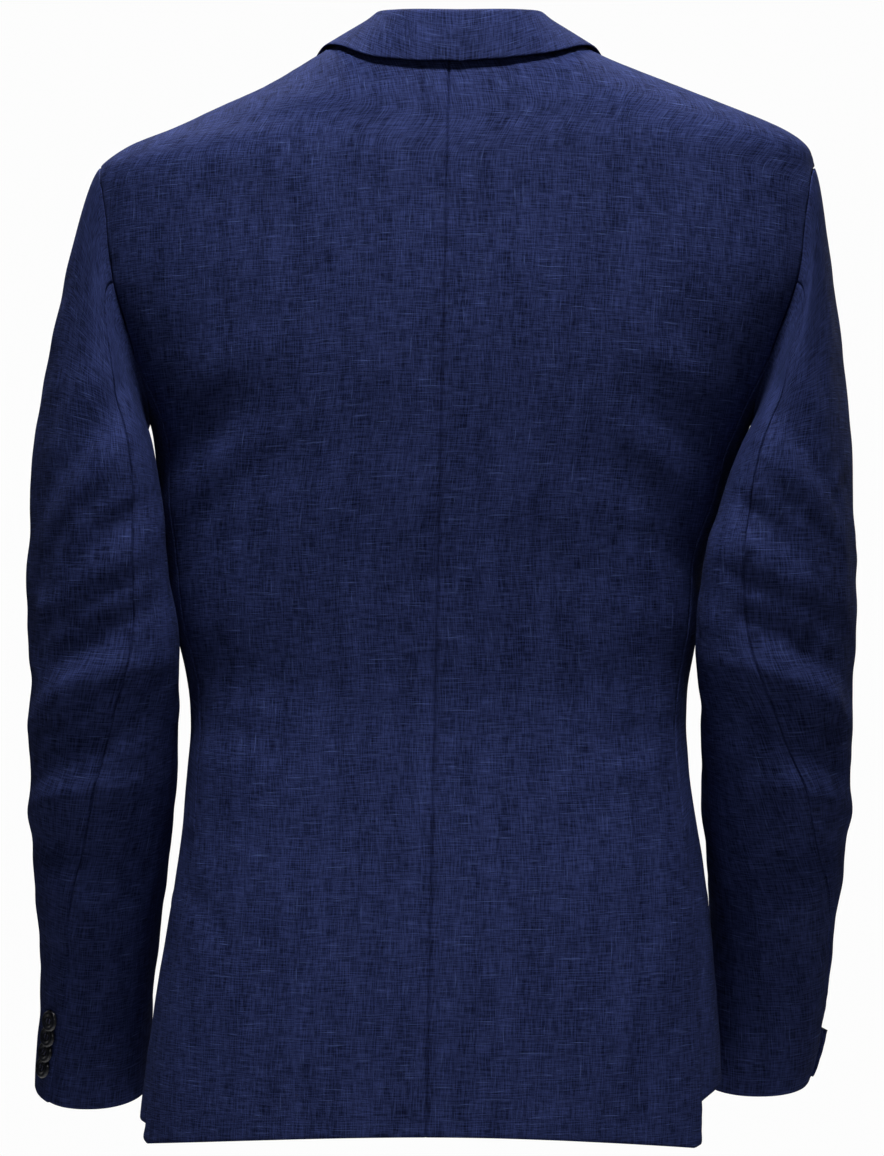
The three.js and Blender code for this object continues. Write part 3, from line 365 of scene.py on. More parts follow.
@dataclass
class BodyForm:
    """The worn shape of the blazer's body, with lengths measured round it.

    The sections hold, by height, the x of the left and the right side and the y
    of the back, the front and the middle between them. The seams hold the degrees
    round to each side seam. A band is a top, its softness, a bottom and its own.
    """

    square: float = 2.4
    angle_step: float = 3.0
    height_step: float = 2.0
    lap_over: float = 5.2
    lap_under: float = 1.0
    lap_from: float = 70.0
    lap_soft: float = 60.0
    seam_neck_x: float = 6.0
    seam_hem_x: float = 21.5
    seam_hem_z: float = -720.0
    folds_band: tuple[float, ...] = (-150.0, 60.0, -720.0, 60.0)
    creases_band: tuple[float, ...] = (-20.0, 60.0, -745.0, 40.0)
    plan_low: float = -140.0
    plan_high: float = 14.0
    sections: Table = field(default_factory=lambda: Table(
        "z", "z left right back front mid", [
            (14, 74, -75, 57, -51, 10),
            (0, 97, -99, 71, -64, 9),
            (-20, 131, -149, 81, -76, 8),
            (-34, 162, -185, 87, -84, 7),
            (-48, 193, -219, 91, -90, 6),
            (-60, 223, -237, 95, -94, 5),
            (-75, 243, -242, 98, -98, 5),
            (-100, 249, -246, 101, -103, 4),
            (-150, 248, -244, 106, -113, 2),
            (-204, 229, -221, 107, -123, 0),
            (-247, 209, -199, 104, -128, 0),
            (-302, 203.5, -180, 99, -128, 0),
            (-340, 199, -168, 94, -126, 0),
            (-379, 193, -163.5, 90, -123, 0),
            (-435, 182, -155.5, 86, -119, -1),
            (-480, 184, -156.5, 89, -119, -2),
            (-531, 188, -164.5, 96, -122, -3),
            (-585, 197, -171.5, 103, -125, -4),
            (-640, 206, -176, 109, -127, -5),
            (-700, 214, -180, 113, -129, -5),
            (-750, 219, -181, 116, -131, -5),
        ]))
    seams: Table = field(default_factory=lambda: Table(
        "z", "z back_left back_right front", [
            (-200, 66, 66, 116),
            (-300, 67, 67, 113),
            (-435, 68, 67.5, 112),
            (-531, 66, 64.5, 112),
            (-600, 67, 63, 112),
            (-680, 71, 61.5, 112),
            (-750, 74, 60.5, 112),
        ]))
    ripple: Ripple = field(default_factory=Ripple)

    def __post_init__(self) -> None:
        """Measure the lengths round the body at many heights."""
        self.heights = np.arange(-780.0, 40.0, self.height_step)
        angles = np.arange(0.0, CENTRE_FRONT + self.angle_step / 2, self.angle_step)
        grid = self.point(angles[None, :] + 0 * self.heights[:, None],
                          self.heights[:, None] + 0 * angles[None, :])
        self.lengths = running(grid, 1)

    def section(self, z: Array) -> tuple[Array, ...]:
        """Left, right, back, front and middle of the section at a height."""
        return tuple(self.sections.read(name, z) for name in ("left", "right", "back", "front", "mid"))

    def point(self, angle: Array, z: Array) -> Array:
        """A point of the body.

        Args:
            angle: Degrees round from the centre back, left positive.
            z: Height.

        Returns:
            Points with x, y and z on the last axis.
        """
        left, right, back, front, mid = self.section(z)
        a = np.radians(angle)
        out = reach(a, self.square)
        depth = np.where(np.cos(a) > 0, back - mid, mid - front)
        x = (left + right) / 2 + (left - right) / 2 * out * np.sin(a)
        y = mid + depth * out * np.cos(a)
        return np.stack([x, y, z + 0 * x], axis=-1)

    def normal(self, angle: Array, z: Array) -> Array:
        """The body's outward direction at a point."""
        up = self.point(angle, z + 1) - self.point(angle, z - 1)
        along = self.point(angle + 0.5, z) - self.point(angle - 0.5, z)
        return unit(np.cross(up, along))

    def _rows(self, z: Array) -> Array:
        """Lengths round at a height, one for each angle of the measured ones."""
        place = (np.asarray(z, dtype=float) - self.heights[0]) / self.height_step
        i = np.clip(np.floor(place).astype(int), 0, len(self.heights) - 2)
        share = (place - i)[..., None]
        return lerp(self.lengths[i], self.lengths[i + 1], share)

    def half_round(self, z: Array) -> Array:
        """Length from the centre back to the centre front."""
        return self._rows(z)[..., -1]

    def length_to(self, angle: Array, z: Array) -> Array:
        """Length round from the centre back to an angle from 0 to 180."""
        angle, z = np.broadcast_arrays(np.asarray(angle, dtype=float), z)
        rows = self._rows(z)
        i = np.clip(np.floor(angle / self.angle_step).astype(int), 0, rows.shape[-1] - 2)
        low, high = neighbours(rows, i)
        return lerp(low, high, angle / self.angle_step - i)

    def angle_for(self, length: Array, z: Array) -> Array:
        """The angle that lies a length round, past the centre front too."""
        length, z = np.broadcast_arrays(np.asarray(length, dtype=float), z)
        rows = self._rows(z)
        total = rows[..., -1]
        value = np.abs(length)
        past = value > total
        value = np.where(past, 2 * total - value, value)
        i = (rows[..., 1:-1] < value[..., None]).sum(axis=-1)
        low, high = neighbours(rows, i)
        angle = self.angle_step * (i + (value - low) / (high - low))
        return np.sign(length + 1e-12) * np.where(past, 360 - angle, angle)

    def length_for_x(self, x: Array, z: Array) -> Array:
        """The length round to a front point that lies x from the centre front."""
        x, z = np.broadcast_arrays(np.asarray(x, dtype=float), z)
        half = (self.sections.read("left", z) - self.sections.read("right", z)) / 2
        low, high = np.full(x.shape, SHOULDER), np.full(x.shape, CENTRE_FRONT)
        for _ in range(HALVINGS):
            trial = (low + high) / 2
            a = np.radians(trial)
            outside = half * reach(a, self.square) * np.sin(a) > np.abs(x)
            low, high = np.where(outside, trial, low), np.where(outside, high, trial)
        length = self.length_to(low, z)
        return np.where(x >= 0, length, 2 * self.half_round(z) - length)

    def cloth(self, side: Side, length: Array, z: Array, lift: Array) -> Array:
        """A point of the cloth that lies on the body.

        Args:
            side: The wearer's side.
            length: Length round from the centre back.
            z: Height.
            lift: Distance out from the body.

        Returns:
            The points.
        """
        angle = side.value * self.angle_for(length, z)
        small = BODY_CREASES.at(side, length, z) + self.ripple.at(side.value * length, z)
        out = lift + BODY_FOLDS.at(side, length, z) * band(z, *self.folds_band)
        out = out + small * band(z, *self.creases_band)
        return self.point(angle, z) + self.normal(angle, z) * out[..., None]

    def lap(self, side: Side, length: Array, z: Array) -> Array:
        """How far a front stands out, or in, where the two fronts lap."""
        from_middle = self.half_round(z) - length
        deep = self.lap_over if side is Side.LEFT else -self.lap_under
        return deep * smooth((self.lap_from - from_middle) / self.lap_soft)

    def back_seam(self, side: Side, z: Array) -> Array:
        """Length round to the side seam of the back."""
        return self.length_to(self.seams.read(f"back_{side.label}", z), z)

    def front_seam(self, z: Array) -> Array:
        """Length round to the side seam of the front."""
        return self.length_to(self.seams.read("front", z), z)

    def centre_seam(self, side: Side, z: Array) -> Array:
        """Length from the middle of the section to the straight centre back seam."""
        middle = (self.sections.read("left", z) + self.sections.read("right", z)) / 2
        share = np.clip(np.asarray(z) / self.seam_hem_z, 0, 1)
        line = lerp(self.seam_neck_x, self.seam_hem_x, share)
        return side.value * (line - middle)

    def outside(self, points: Array) -> tuple[Array, Array]:
        """How far points stand outside the body.

        Args:
            points: The points.

        Returns:
            The distances and the directions out.
        """
        def level(p: Array) -> Array:
            """The section's own measure, one on its line."""
            x, y, z = p[..., 0], p[..., 1], p[..., 2]
            left, right, back, front, mid = self.section(z)
            depth = np.where(y > mid, back - mid, mid - front)
            across = np.abs(x - (left + right) / 2) / ((left - right) / 2)
            forward = np.abs(y - mid) / depth
            return (across ** self.square + forward ** self.square) ** (1 / self.square)

        halves = 0.5 * np.eye(3)
        slope = np.stack([level(points + half) - level(points - half) for half in halves], axis=-1)
        steep = np.linalg.norm(slope, axis=-1)
        return (level(points) - 1) / np.where(steep == 0, 1, steep), unit(slope)

    def clear_of(self, points: Array, least: Array) -> Array:
        """Points pushed out until they stand at least a distance from the body."""
        moved = points
        for _ in range(4):
            gap, out = self.outside(moved)
            moved = moved + out * np.maximum(least - gap, 0)[..., None]
        return moved

    def over_plan(self, x: Array, y: Array, lift: Array) -> Array:
        """The highest points of the body over places in plan, moved out."""
        low, high = np.full(x.shape, self.plan_low), np.full(x.shape, self.plan_high)
        for _ in range(HALVINGS):
            z = (low + high) / 2
            above = self.outside(np.stack([x, y, z], axis=-1))[0] > 0
            low, high = np.where(above, low, z), np.where(above, z, high)
        found = np.stack([x, y, low], axis=-1)
        return found + self.outside(found)[1] * lift[..., None]


@dataclass
class Armhole:
    """The armhole line, counted in columns from the shoulder through the back."""

    back: int = 9
    under: int = 8
    front: int = 9
    back_seam_row: int = 7
    front_seam_row: int = 12
    rows: Array = field(default_factory=lambda: np.array([
        (90, -74), (76, -79), (69.5, -93), (66, -113), (64.3, -138), (64, -162), (64.6, -184),
        (66, -204), (69.5, -226), (77, -241), (90, -247), (104, -242), (114, -226), (117.5, -202),
        (118, -176), (117, -150), (114, -122), (109, -98), (102, -81)], dtype=float))

    @property
    def total(self) -> int:
        """Columns once round."""
        return self.back + self.under + self.front

    def place(self, column: Array) -> tuple[Array, Array]:
        """The armhole at a column.

        Args:
            column: Columns round from the shoulder, whole or not.

        Returns:
            Degrees round the body, and heights.
        """
        c = np.mod(np.asarray(column, dtype=float), self.total)
        at = c / self.back * self.back_seam_row
        lower = lerp(self.back_seam_row, self.front_seam_row, (c - self.back) / self.under)
        at = np.where(c > self.back, lower, at)
        count = len(self.rows)
        rest = (c - self.back - self.under) / self.front
        at = np.where(c > self.back + self.under, lerp(self.front_seam_row, count, rest), at)
        i = np.floor(at).astype(int)
        before, here, after, last = (self.rows[(i + k) % count] for k in (-1, 0, 1, 2))
        value = ease(here, (after - before) / 2, after, (last - here) / 2, (at - i)[..., None])
        return value[..., 0], value[..., 1]


def sheet_mesh(name: str, outer: Array, inner: Array, uv: Array) -> bpy.types.Object:
    """A closed thin cloth from a grid of outer and one of inner points.

    Args:
        name: The object's name.
        outer: Outer points, rows by columns, in millimetres.
        inner: Inner points.
        uv: Places on the flat cloth, in metres.

    Returns:
        The new object.
    """
    rows, columns = outer.shape[:2]
    back = rows * columns
    corner = (np.arange(rows - 1)[:, None] * columns + np.arange(columns - 1)).ravel()
    front = np.stack([corner, corner + 1, corner + columns + 1, corner + columns], axis=1)
    behind = front[:, ::-1] + back
    rim = np.concatenate([
        np.arange(columns),
        np.arange(1, rows) * columns + columns - 1,
        (rows - 1) * columns + np.arange(columns - 2, -1, -1),
        np.arange(rows - 2, 0, -1) * columns,
    ])
    after = np.roll(rim, -1)
    edge = np.stack([rim, rim + back, after + back, after], axis=1)
    faces = np.concatenate([front, behind, edge])
    points = np.concatenate([outer.reshape(-1, 3), inner.reshape(-1, 3)]) * MM
    flat = np.concatenate([uv.reshape(-1, 2), uv.reshape(-1, 2)])
    return mesh_object(name, points, faces, flat)


def mesh_object(name: str, points: Array, faces: Array, uv: Array) -> bpy.types.Object:
    """A smooth mesh object with its faces turned outward.

    Args:
        name: The object's name.
        points: Vertices in metres.
        faces: Quads as rows of four vertices.
        uv: One place on the flat cloth for each vertex.

    Returns:
        The new object.
    """
    a, b, c, d = (points[faces[:, k]] for k in range(4))
    volume = np.sum(a * np.cross(b, c)) + np.sum(a * np.cross(c, d))
    if volume < 0:
        faces = faces[:, ::-1]
    mesh = bpy.data.meshes.new(name)
    mesh.vertices.add(len(points))
    mesh.vertices.foreach_set("co", points.astype(np.float32).ravel())
    mesh.loops.add(faces.size)
    mesh.loops.foreach_set("vertex_index", faces.astype(np.int32).ravel())
    mesh.polygons.add(len(faces))
    mesh.polygons.foreach_set("loop_start", np.arange(0, faces.size, 4, dtype=np.int32))
    layer = mesh.uv_layers.new(name="Cloth")
    layer.data.foreach_set("uv", uv[faces.ravel()].astype(np.float32).ravel())
    mesh.update(calc_edges=True)
    mesh.validate()
    mesh.shade_smooth()
    obj = bpy.data.objects.new(name, mesh)
    bpy.context.scene.collection.objects.link(obj)
    return obj


def fill(u: Array, v: Array, bottom: Curve, top: Curve, left: Curve, right: Curve) -> Array:
    """Fill a four sided patch of cloth from the lines of its sides.

    Args:
        u: Places along the bottom and top.
        v: Places along the left and right.
        bottom: Line of the bottom, as places [length, height].
        top: Line of the top.
        left: Line of the left side.
        right: Line of the right side.

    Returns:
        A grid of places, rows by columns by two.
    """
    low, high = bottom(u)[None], top(u)[None]
    first, last = left(v)[:, None], right(v)[:, None]
    across, up = u[None, :, None], v[:, None, None]
    ends = lerp(low, high, up) + lerp(first, last, across)
    corners_low = lerp(low[:, :1], low[:, -1:], across)
    corners_high = lerp(high[:, :1], high[:, -1:], across)
    return ends - lerp(corners_low, corners_high, up)


def shares(count: int, close: Sequence[float]) -> Array:
    """Places from 0 to 1, with extra ones close to both ends."""
    near = np.array(close)
    return np.unique(np.concatenate([np.linspace(0, 1, count + 1), near, 1 - near]))


def edge_distance(places: Array) -> dict[str, Array]:
    """Distance of every place of a grid from each of its four sides."""
    left, bottom = running(places, 1), running(places, 0)
    right, top = left[:, -1:] - left, bottom[-1:] - bottom
    return {"left": left, "right": right, "bottom": bottom, "top": top}


def finishes(seams: str, free: str) -> dict[str, Edge]:
    """The finish of each side of a piece.

    Args:
        seams: Names of the sides that are sewn on.
        free: Names of the sides that are turned in.

    Returns:
        The finish by side.
    """
    return {**dict.fromkeys(seams.split(), Edge.SEAM), **dict.fromkeys(free.split(), Edge.FREE)}


@dataclass(frozen=True)
class EdgeShape:
    """How deep and wide the finish of an edge is."""

    groove: float = 1.8
    groove_wide: float = 0.9
    thin: float = 0.5
    thin_wide: float = 0.8
    pucker: float = 0.22
    pucker_wide: float = 9.0
    pucker_wave: float = 13.0
    pucker_beat: float = 3.7

    def lifts(self, away: dict[str, Array], edges: dict[str, Edge]) -> tuple[Array, Array]:
        """Changes of the outer and the inner face near the edges.

        Args:
            away: Distance of every place from each side.
            edges: The finish of each side.

        Returns:
            What is added to the outer and to the inner face.
        """
        outer = np.zeros(away["left"].shape)
        inner = np.zeros(away["left"].shape)
        for name, edge in edges.items():
            far = away[name]
            if edge is Edge.SEAM:
                along = away["bottom"] if name in ("left", "right") else away["left"]
                turn = along * 2 * math.pi / self.pucker_wave
                wave = np.sin(turn) * np.sin(turn / self.pucker_beat + 1)
                sunk = self.groove * np.exp(-((far / self.groove_wide) ** 2))
                gathered = self.pucker * wave * np.exp(-((far / self.pucker_wide) ** 2))
                outer = outer - sunk + gathered
                inner = inner - sunk + gathered
            else:
                pressed = self.thin * np.exp(-((far / self.thin_wide) ** 2))
                outer = outer - pressed
                inner = inner + pressed
        return outer, inner


@dataclass(frozen=True)
class Cut:
    """The flat size of a piece of cloth."""

    wide: float
    long: float
    area: float

    @classmethod
    def of(cls, grid: Array) -> "Cut":
        """Measure a grid of points in millimetres.

        Args:
            grid: The outer points, rows by columns.

        Returns:
            The size of the cloth when laid flat.
        """
        across = np.linalg.norm(np.diff(grid, axis=1), axis=-1)
        up = np.linalg.norm(np.diff(grid, axis=0), axis=-1)
        a = grid[1:, 1:] - grid[:-1, :-1]
        b = grid[1:, :-1] - grid[:-1, 1:]
        area = np.linalg.norm(np.cross(a, b), axis=-1).sum() / 2 * MM * MM
        wide = across.sum(axis=1).max() * MM
        long = up.sum(axis=0).max() * MM
        return cls(round(float(wide), 3), round(float(long), 3),
                   round(float(min(area, wide * long)), 5))


def dress(obj: bpy.types.Object, material: bpy.types.Material, slot: str, *nodes: str) -> None:
    """Give a piece its finish, its body and the nodes it stands for.

    Args:
        obj: The piece.
        material: Its finish.
        slot: Not used.
        nodes: The solids that it replaces.
    """
    obj.data.materials.clear()
    obj.data.materials.append(material)
    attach(obj, "root")
    if nodes:
        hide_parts(*nodes)
    LOG.info("%s: %d faces", obj.name, len(obj.data.polygons))


def lay_flat(obj: bpy.types.Object, grid: Array) -> None:
    """State a cloth piece's flat size.

    Args:
        obj: The piece.
        grid: Its points before its folds, rows by columns, in millimetres.
    """
    cut = Cut.of(grid)
    LOG.info("%s flat %.3f x %.3f m, %.4f m2", obj.name, cut.wide, cut.long, cut.area)


@dataclass
class ClothPiece:
    """A cloth piece that lies on the body, from its cut to its mesh.

    Rows go up the cloth and columns across it. A side seam has vent_rows where it
    is open and sewn_rows above them. The close places are extra ones beside a
    seam, as shares of the whole width or height.
    """

    side: Side
    body: BodyForm
    armhole: Armhole
    material: bpy.types.Material
    thick: float = 1.5
    half_gap: float = -0.12
    vent_rows: int = 7
    sewn_rows: int = 11
    vent_top: float = -531.0
    neck_columns: int = 6
    shoulder_columns: int = 6
    finer_columns: int = 7
    finer_rows: int = 8
    close_across: tuple[float, ...] = (0.0018, 0.004, 0.007)
    close_up: tuple[float, ...] = (0.0006, 0.0015, 0.003)
    neck_back: float = -4.0
    neck_shoulder: float = 6.0
    under_arm: float = -212.0
    hems_left: tuple[float, float] = (-722.0, -724.0)
    hems_right: tuple[float, float] = (-712.0, -708.0)
    shape: EdgeShape = field(default_factory=EdgeShape)

    @property
    def side_hems(self) -> tuple[float, float]:
        """Heights of the hem at the side seams of the back and of the front."""
        return self.hems_left if self.side is Side.LEFT else self.hems_right

    def armhole_height(self, column: float) -> float:
        """Height of the armhole at one column."""
        return float(self.armhole.place(np.array(float(column)))[1])

    def grid(self, rows: int, columns: int) -> tuple[Array, Array]:
        """Places across and up a panel, finer beside its seams."""
        return (shares(columns * self.finer_columns, self.close_across),
                shares(rows * self.finer_rows, self.close_up))

    def seam_heights(self, index: Array, hem: float, armhole: float) -> Array:
        """Heights up a side seam: the open vent part, then the sewn part."""
        low = lerp(hem, self.vent_top, np.clip(index / self.vent_rows, 0, 1) ** 1.4)
        share = np.clip((index - self.vent_rows) / self.sewn_rows, 0, 1)
        return np.where(index <= self.vent_rows, low, lerp(self.vent_top, armhole, share))

    def neck_height(self, angle: Array) -> Array:
        """Height of the neck seam at an angle from the centre back."""
        back = lerp(self.neck_back, self.neck_shoulder, smooth(np.asarray(angle) / SHOULDER))
        past = (angle - SHOULDER) / (neck_end(self.body) - SHOULDER)
        front = self.neck_shoulder - self.neck_shoulder * past
        return np.where(np.asarray(angle) <= SHOULDER, back, front)

    def armhole_line(self, column: Array) -> Array:
        """The armhole as places [length, height]."""
        angle, z = self.armhole.place(column)
        return paired(self.body.length_to(angle, z), z)

    def shoulder(self, t: Array, shift: float) -> Array:
        """The shoulder seam as places [length, height]."""
        z = lerp(float(self.neck_height(SHOULDER)), self.armhole.rows[0, 1], t)
        return paired(self.body.length_to(SHOULDER + 0 * z, z) + shift, z)

    def finish(self, name: str, places: Array, lift: Array,
               edges: dict[str, Edge]) -> bpy.types.Object:
        """Make the cloth's mesh and dress it.

        Args:
            name: The piece's name.
            places: Grid of places [length, height].
            lift: Distance out from the body.
            edges: The finish of each side.

        Returns:
            The finished object.
        """
        length, z = places[..., 0], places[..., 1]
        outer_lift, inner_lift = self.shape.lifts(edge_distance(places), edges)
        outer = self.body.cloth(self.side, length, z, lift + outer_lift)
        inner = self.body.cloth(self.side, length, z, lift + inner_lift - self.thick)
        plain = self.body.cloth(self.side, length, z, lift)
        grain = paired(length[:, :1] + running(plain, 1), z[:1] + running(plain, 0))
        node = f"{name}_{self.side.label}"
        obj = sheet_mesh(f"{node}_cloth", outer, inner, grain * MM * np.array([self.side.value, 1]))
        dress(obj, self.material, "linen", node)
        lay_flat(obj, plain)
        return obj


# The front edge from the neck to the hem, as distance from the centre front.
FRONT_EDGE = Table("z", "z x", [
    (0, 68), (-40, 64), (-100, 57), (-200, 40), (-300, 16), (-360, -2), (-405, -15),
    (-440, -19), (-510, -19), (-560, -14), (-620, 2), (-680, 24), (-708, 41), (-724, 59),
    (-732, 84)])
# How far the front stops short of the roll line by the neck, and where that starts.
ROLL_BACK = 7.0
ROLL_LOW = -80.0
ROLL_SOFT = 45.0


def front_edge(z: Array) -> Array:
    """Distance of the front's own edge from the centre front."""
    return FRONT_EDGE.read("x", z) + ROLL_BACK * smooth((np.asarray(z) - ROLL_LOW) / ROLL_SOFT)


def neck_end(body: BodyForm) -> float:
    """Where the neck seam meets the front edge, as degrees round the body."""
    return float(body.angle_for(body.length_for_x(front_edge(0.0), 0.0), 0.0))


@dataclass
class BackPanel(ClothPiece):
    """Half of the back, from the centre seam to the side seam and armhole."""

    hem_centre: float = -717.6
    hem_drop: float = 15.0
    hem_corner: float = 3.0
    corner_share: float = 0.05

    def hem(self, t: Array) -> Array:
        """Height of the hem, from the centre seam at 0 to the vent at 1."""
        turned = smooth((t - (1 - self.corner_share)) / self.corner_share)
        return self.hem_centre - self.hem_drop * t * t + self.hem_corner * turned

    def build(self) -> bpy.types.Object:
        """Make the panel."""
        sewn = self.vent_rows + self.sewn_rows
        rows = sewn + self.armhole.back
        columns = self.neck_columns + self.shoulder_columns
        armhole_seam = self.armhole_height(self.armhole.back)
        gap = self.half_gap

        def right(v: Array) -> Array:
            """Side seam, then the armhole."""
            index = v * rows
            z = self.seam_heights(index, float(self.hem(np.array(1.0))), armhole_seam)
            seam = paired(self.body.back_seam(self.side, z) - gap, z)
            return np.where((index <= sewn)[..., None], seam, self.armhole_line(rows - index))

        def left(v: Array) -> Array:
            """Centre seam."""
            index = v * rows
            low = self.seam_heights(index, float(self.hem(np.array(0.0))), self.under_arm)
            share = (index - sewn) / (rows - sewn)
            upper = lerp(self.under_arm, float(self.neck_height(0.0)), share)
            z = np.where(index <= sewn, low, upper)
            return paired(self.body.centre_seam(self.side, z) + gap, z)

        def top(u: Array) -> Array:
            """Neck, then the shoulder seam."""
            index = u * columns
            z0 = self.neck_height(0.0)
            start = self.body.angle_for(self.body.centre_seam(self.side, z0) + gap, z0)
            angle = lerp(float(start), SHOULDER, np.clip(index / self.neck_columns, 0, 1))
            z = self.neck_height(np.abs(angle))
            neck = paired(np.sign(angle) * self.body.length_to(np.abs(angle), z), z)
            shoulder = self.shoulder((index - self.neck_columns) / self.shoulder_columns, -gap)
            return np.where((index < self.neck_columns)[..., None], neck, shoulder)

        def bottom(u: Array) -> Array:
            """Hem of the skirt."""
            ends = left(np.array([0.0]))[0, 0], right(np.array([0.0]))[0, 0]
            return paired(lerp(*ends, u), self.hem(u))

        places = fill(*self.grid(rows, columns), bottom, top, left, right)
        flat = np.zeros(places.shape[:2])
        return self.finish("back", places, flat, finishes("left right top", "bottom"))


@dataclass
class SidePanel(ClothPiece):
    """The panel under the arm, whose skirt runs on under the back skirt."""

    drop: float = 2.4
    underlap: float = 22.0
    rise_left: float = 4.0
    rise_right: float = 18.0
    vent_soft: float = 16.0
    drop_above: float = 14.0
    drop_wide: float = 24.0
    columns: int = 38

    def build(self) -> bpy.types.Object:
        """Make the panel."""
        rows = self.vent_rows + self.sewn_rows
        arm = self.armhole
        ends = [self.armhole_height(column) for column in (arm.back, arm.back + arm.under)]
        hems = self.side_hems
        rise = self.rise_left if self.side is Side.LEFT else self.rise_right

        def left(v: Array) -> Array:
            """Side seam of the back, with the underlap of the vent."""
            z = self.seam_heights(v * rows, hems[0], ends[0])
            under = self.underlap * smooth((self.vent_top - 2 - z) / self.vent_soft)
            return paired(self.body.back_seam(self.side, z) + self.half_gap - under, z)

        def right(v: Array) -> Array:
            """Side seam of the front."""
            z = self.seam_heights(v * rows, hems[1], ends[1])
            return paired(self.body.front_seam(z) - self.half_gap, z)

        def top(u: Array) -> Array:
            """Armhole under the arm."""
            line = self.armhole_line(arm.back + arm.under * u)
            first, last = left(np.array([1.0]))[0], right(np.array([1.0]))[0]
            return line + lerp(first - line[0], last - line[-1], u[:, None])

        def bottom(u: Array) -> Array:
            """Hem of the skirt."""
            first, last = left(np.array([0.0]))[0], right(np.array([0.0]))[0]
            line = lerp(first, last, u[:, None])
            line[:, 1] += rise * np.sin(math.pi * u)
            return line

        u = shares(self.columns, (0.004, 0.009, 0.016))
        v = shares(rows * self.finer_rows, (0.001, 0.0024, 0.005))
        places = fill(u, v, bottom, top, left, right)
        length, z = places[..., 0], places[..., 1]
        seam = self.body.back_seam(self.side, z)
        deep = smooth((self.vent_top + self.drop_above - z) / self.vent_soft)
        deep = deep * smooth(1 - (length - seam - 1) / self.drop_wide)
        return self.finish("side", places, -self.drop * deep, finishes("left right top", "bottom"))


@dataclass
class FrontPanel(ClothPiece):
    """The front, from the side seam to the front edge, roll line and shoulder."""

    hem_edge: float = -732.0
    hem_sag: float = 6.0
    front_columns: int = 4

    def build(self) -> bpy.types.Object:
        """Make the panel."""
        arm = self.armhole
        sewn = self.vent_rows + self.sewn_rows
        rows = sewn + arm.front
        columns = self.front_columns + self.shoulder_columns
        hem_side = self.side_hems[1]
        armhole_seam = self.armhole_height(arm.back + arm.under)
        end = neck_end(self.body)

        def right(v: Array) -> Array:
            """Side seam, then the armhole."""
            index = v * rows
            z = self.seam_heights(index, hem_side, armhole_seam)
            seam = paired(self.body.front_seam(z) + self.half_gap, z)
            column = arm.back + arm.under + (index - sewn)
            return np.where((index <= sewn)[..., None], seam, self.armhole_line(column))

        def left(v: Array) -> Array:
            """Front edge and roll line."""
            index = v * rows
            low = self.seam_heights(index, self.hem_edge, self.under_arm)
            upper = lerp(self.under_arm, 0.0, (index - sewn) / (rows - sewn))
            z = np.where(index <= sewn, low, upper)
            return paired(self.body.length_for_x(front_edge(z), z), z)

        def top(u: Array) -> Array:
            """Neck, then the shoulder seam."""
            index = u * columns
            angle = lerp(end, SHOULDER, np.clip(index / self.front_columns, 0, 1))
            z = self.neck_height(angle)
            neck = paired(self.body.length_to(angle, z), z)
            share = (index - self.front_columns) / self.shoulder_columns
            shoulder = self.shoulder(share, self.half_gap)
            return np.where((index < self.front_columns)[..., None], neck, shoulder)

        def bottom(u: Array) -> Array:
            """Hem of the front."""
            ends = left(np.array([0.0]))[0, 0], right(np.array([0.0]))[0, 0]
            z = lerp(self.hem_edge, hem_side, u) - self.hem_sag * np.sin(math.pi * u)
            return paired(lerp(*ends, u), z)

        places = fill(*self.grid(rows, columns), bottom, top, left, right)
        lift = self.body.lap(self.side, places[..., 0], places[..., 1])
        return self.finish("front", places, lift, finishes("right top", "left bottom"))


@dataclass(frozen=True)
class Gorge:
    """The line where lapel and collar are joined, and the collar's free end."""

    start: tuple[float, float] = (64.0, -40.0)
    notch: tuple[float, float] = (100.0, -80.0)
    tip: tuple[float, float] = (124.0, -55.0)
    joined: float = 0.6

    def at(self, share: float) -> tuple[float, float]:
        """A place [x, height] along the line."""
        if share <= self.joined:
            a, b, t = self.start, self.notch, share / self.joined
        else:
            a, b, t = self.notch, self.tip, (share - self.joined) / (1 - self.joined)
        return lerp(a[0], b[0], t), lerp(a[1], b[1], t)


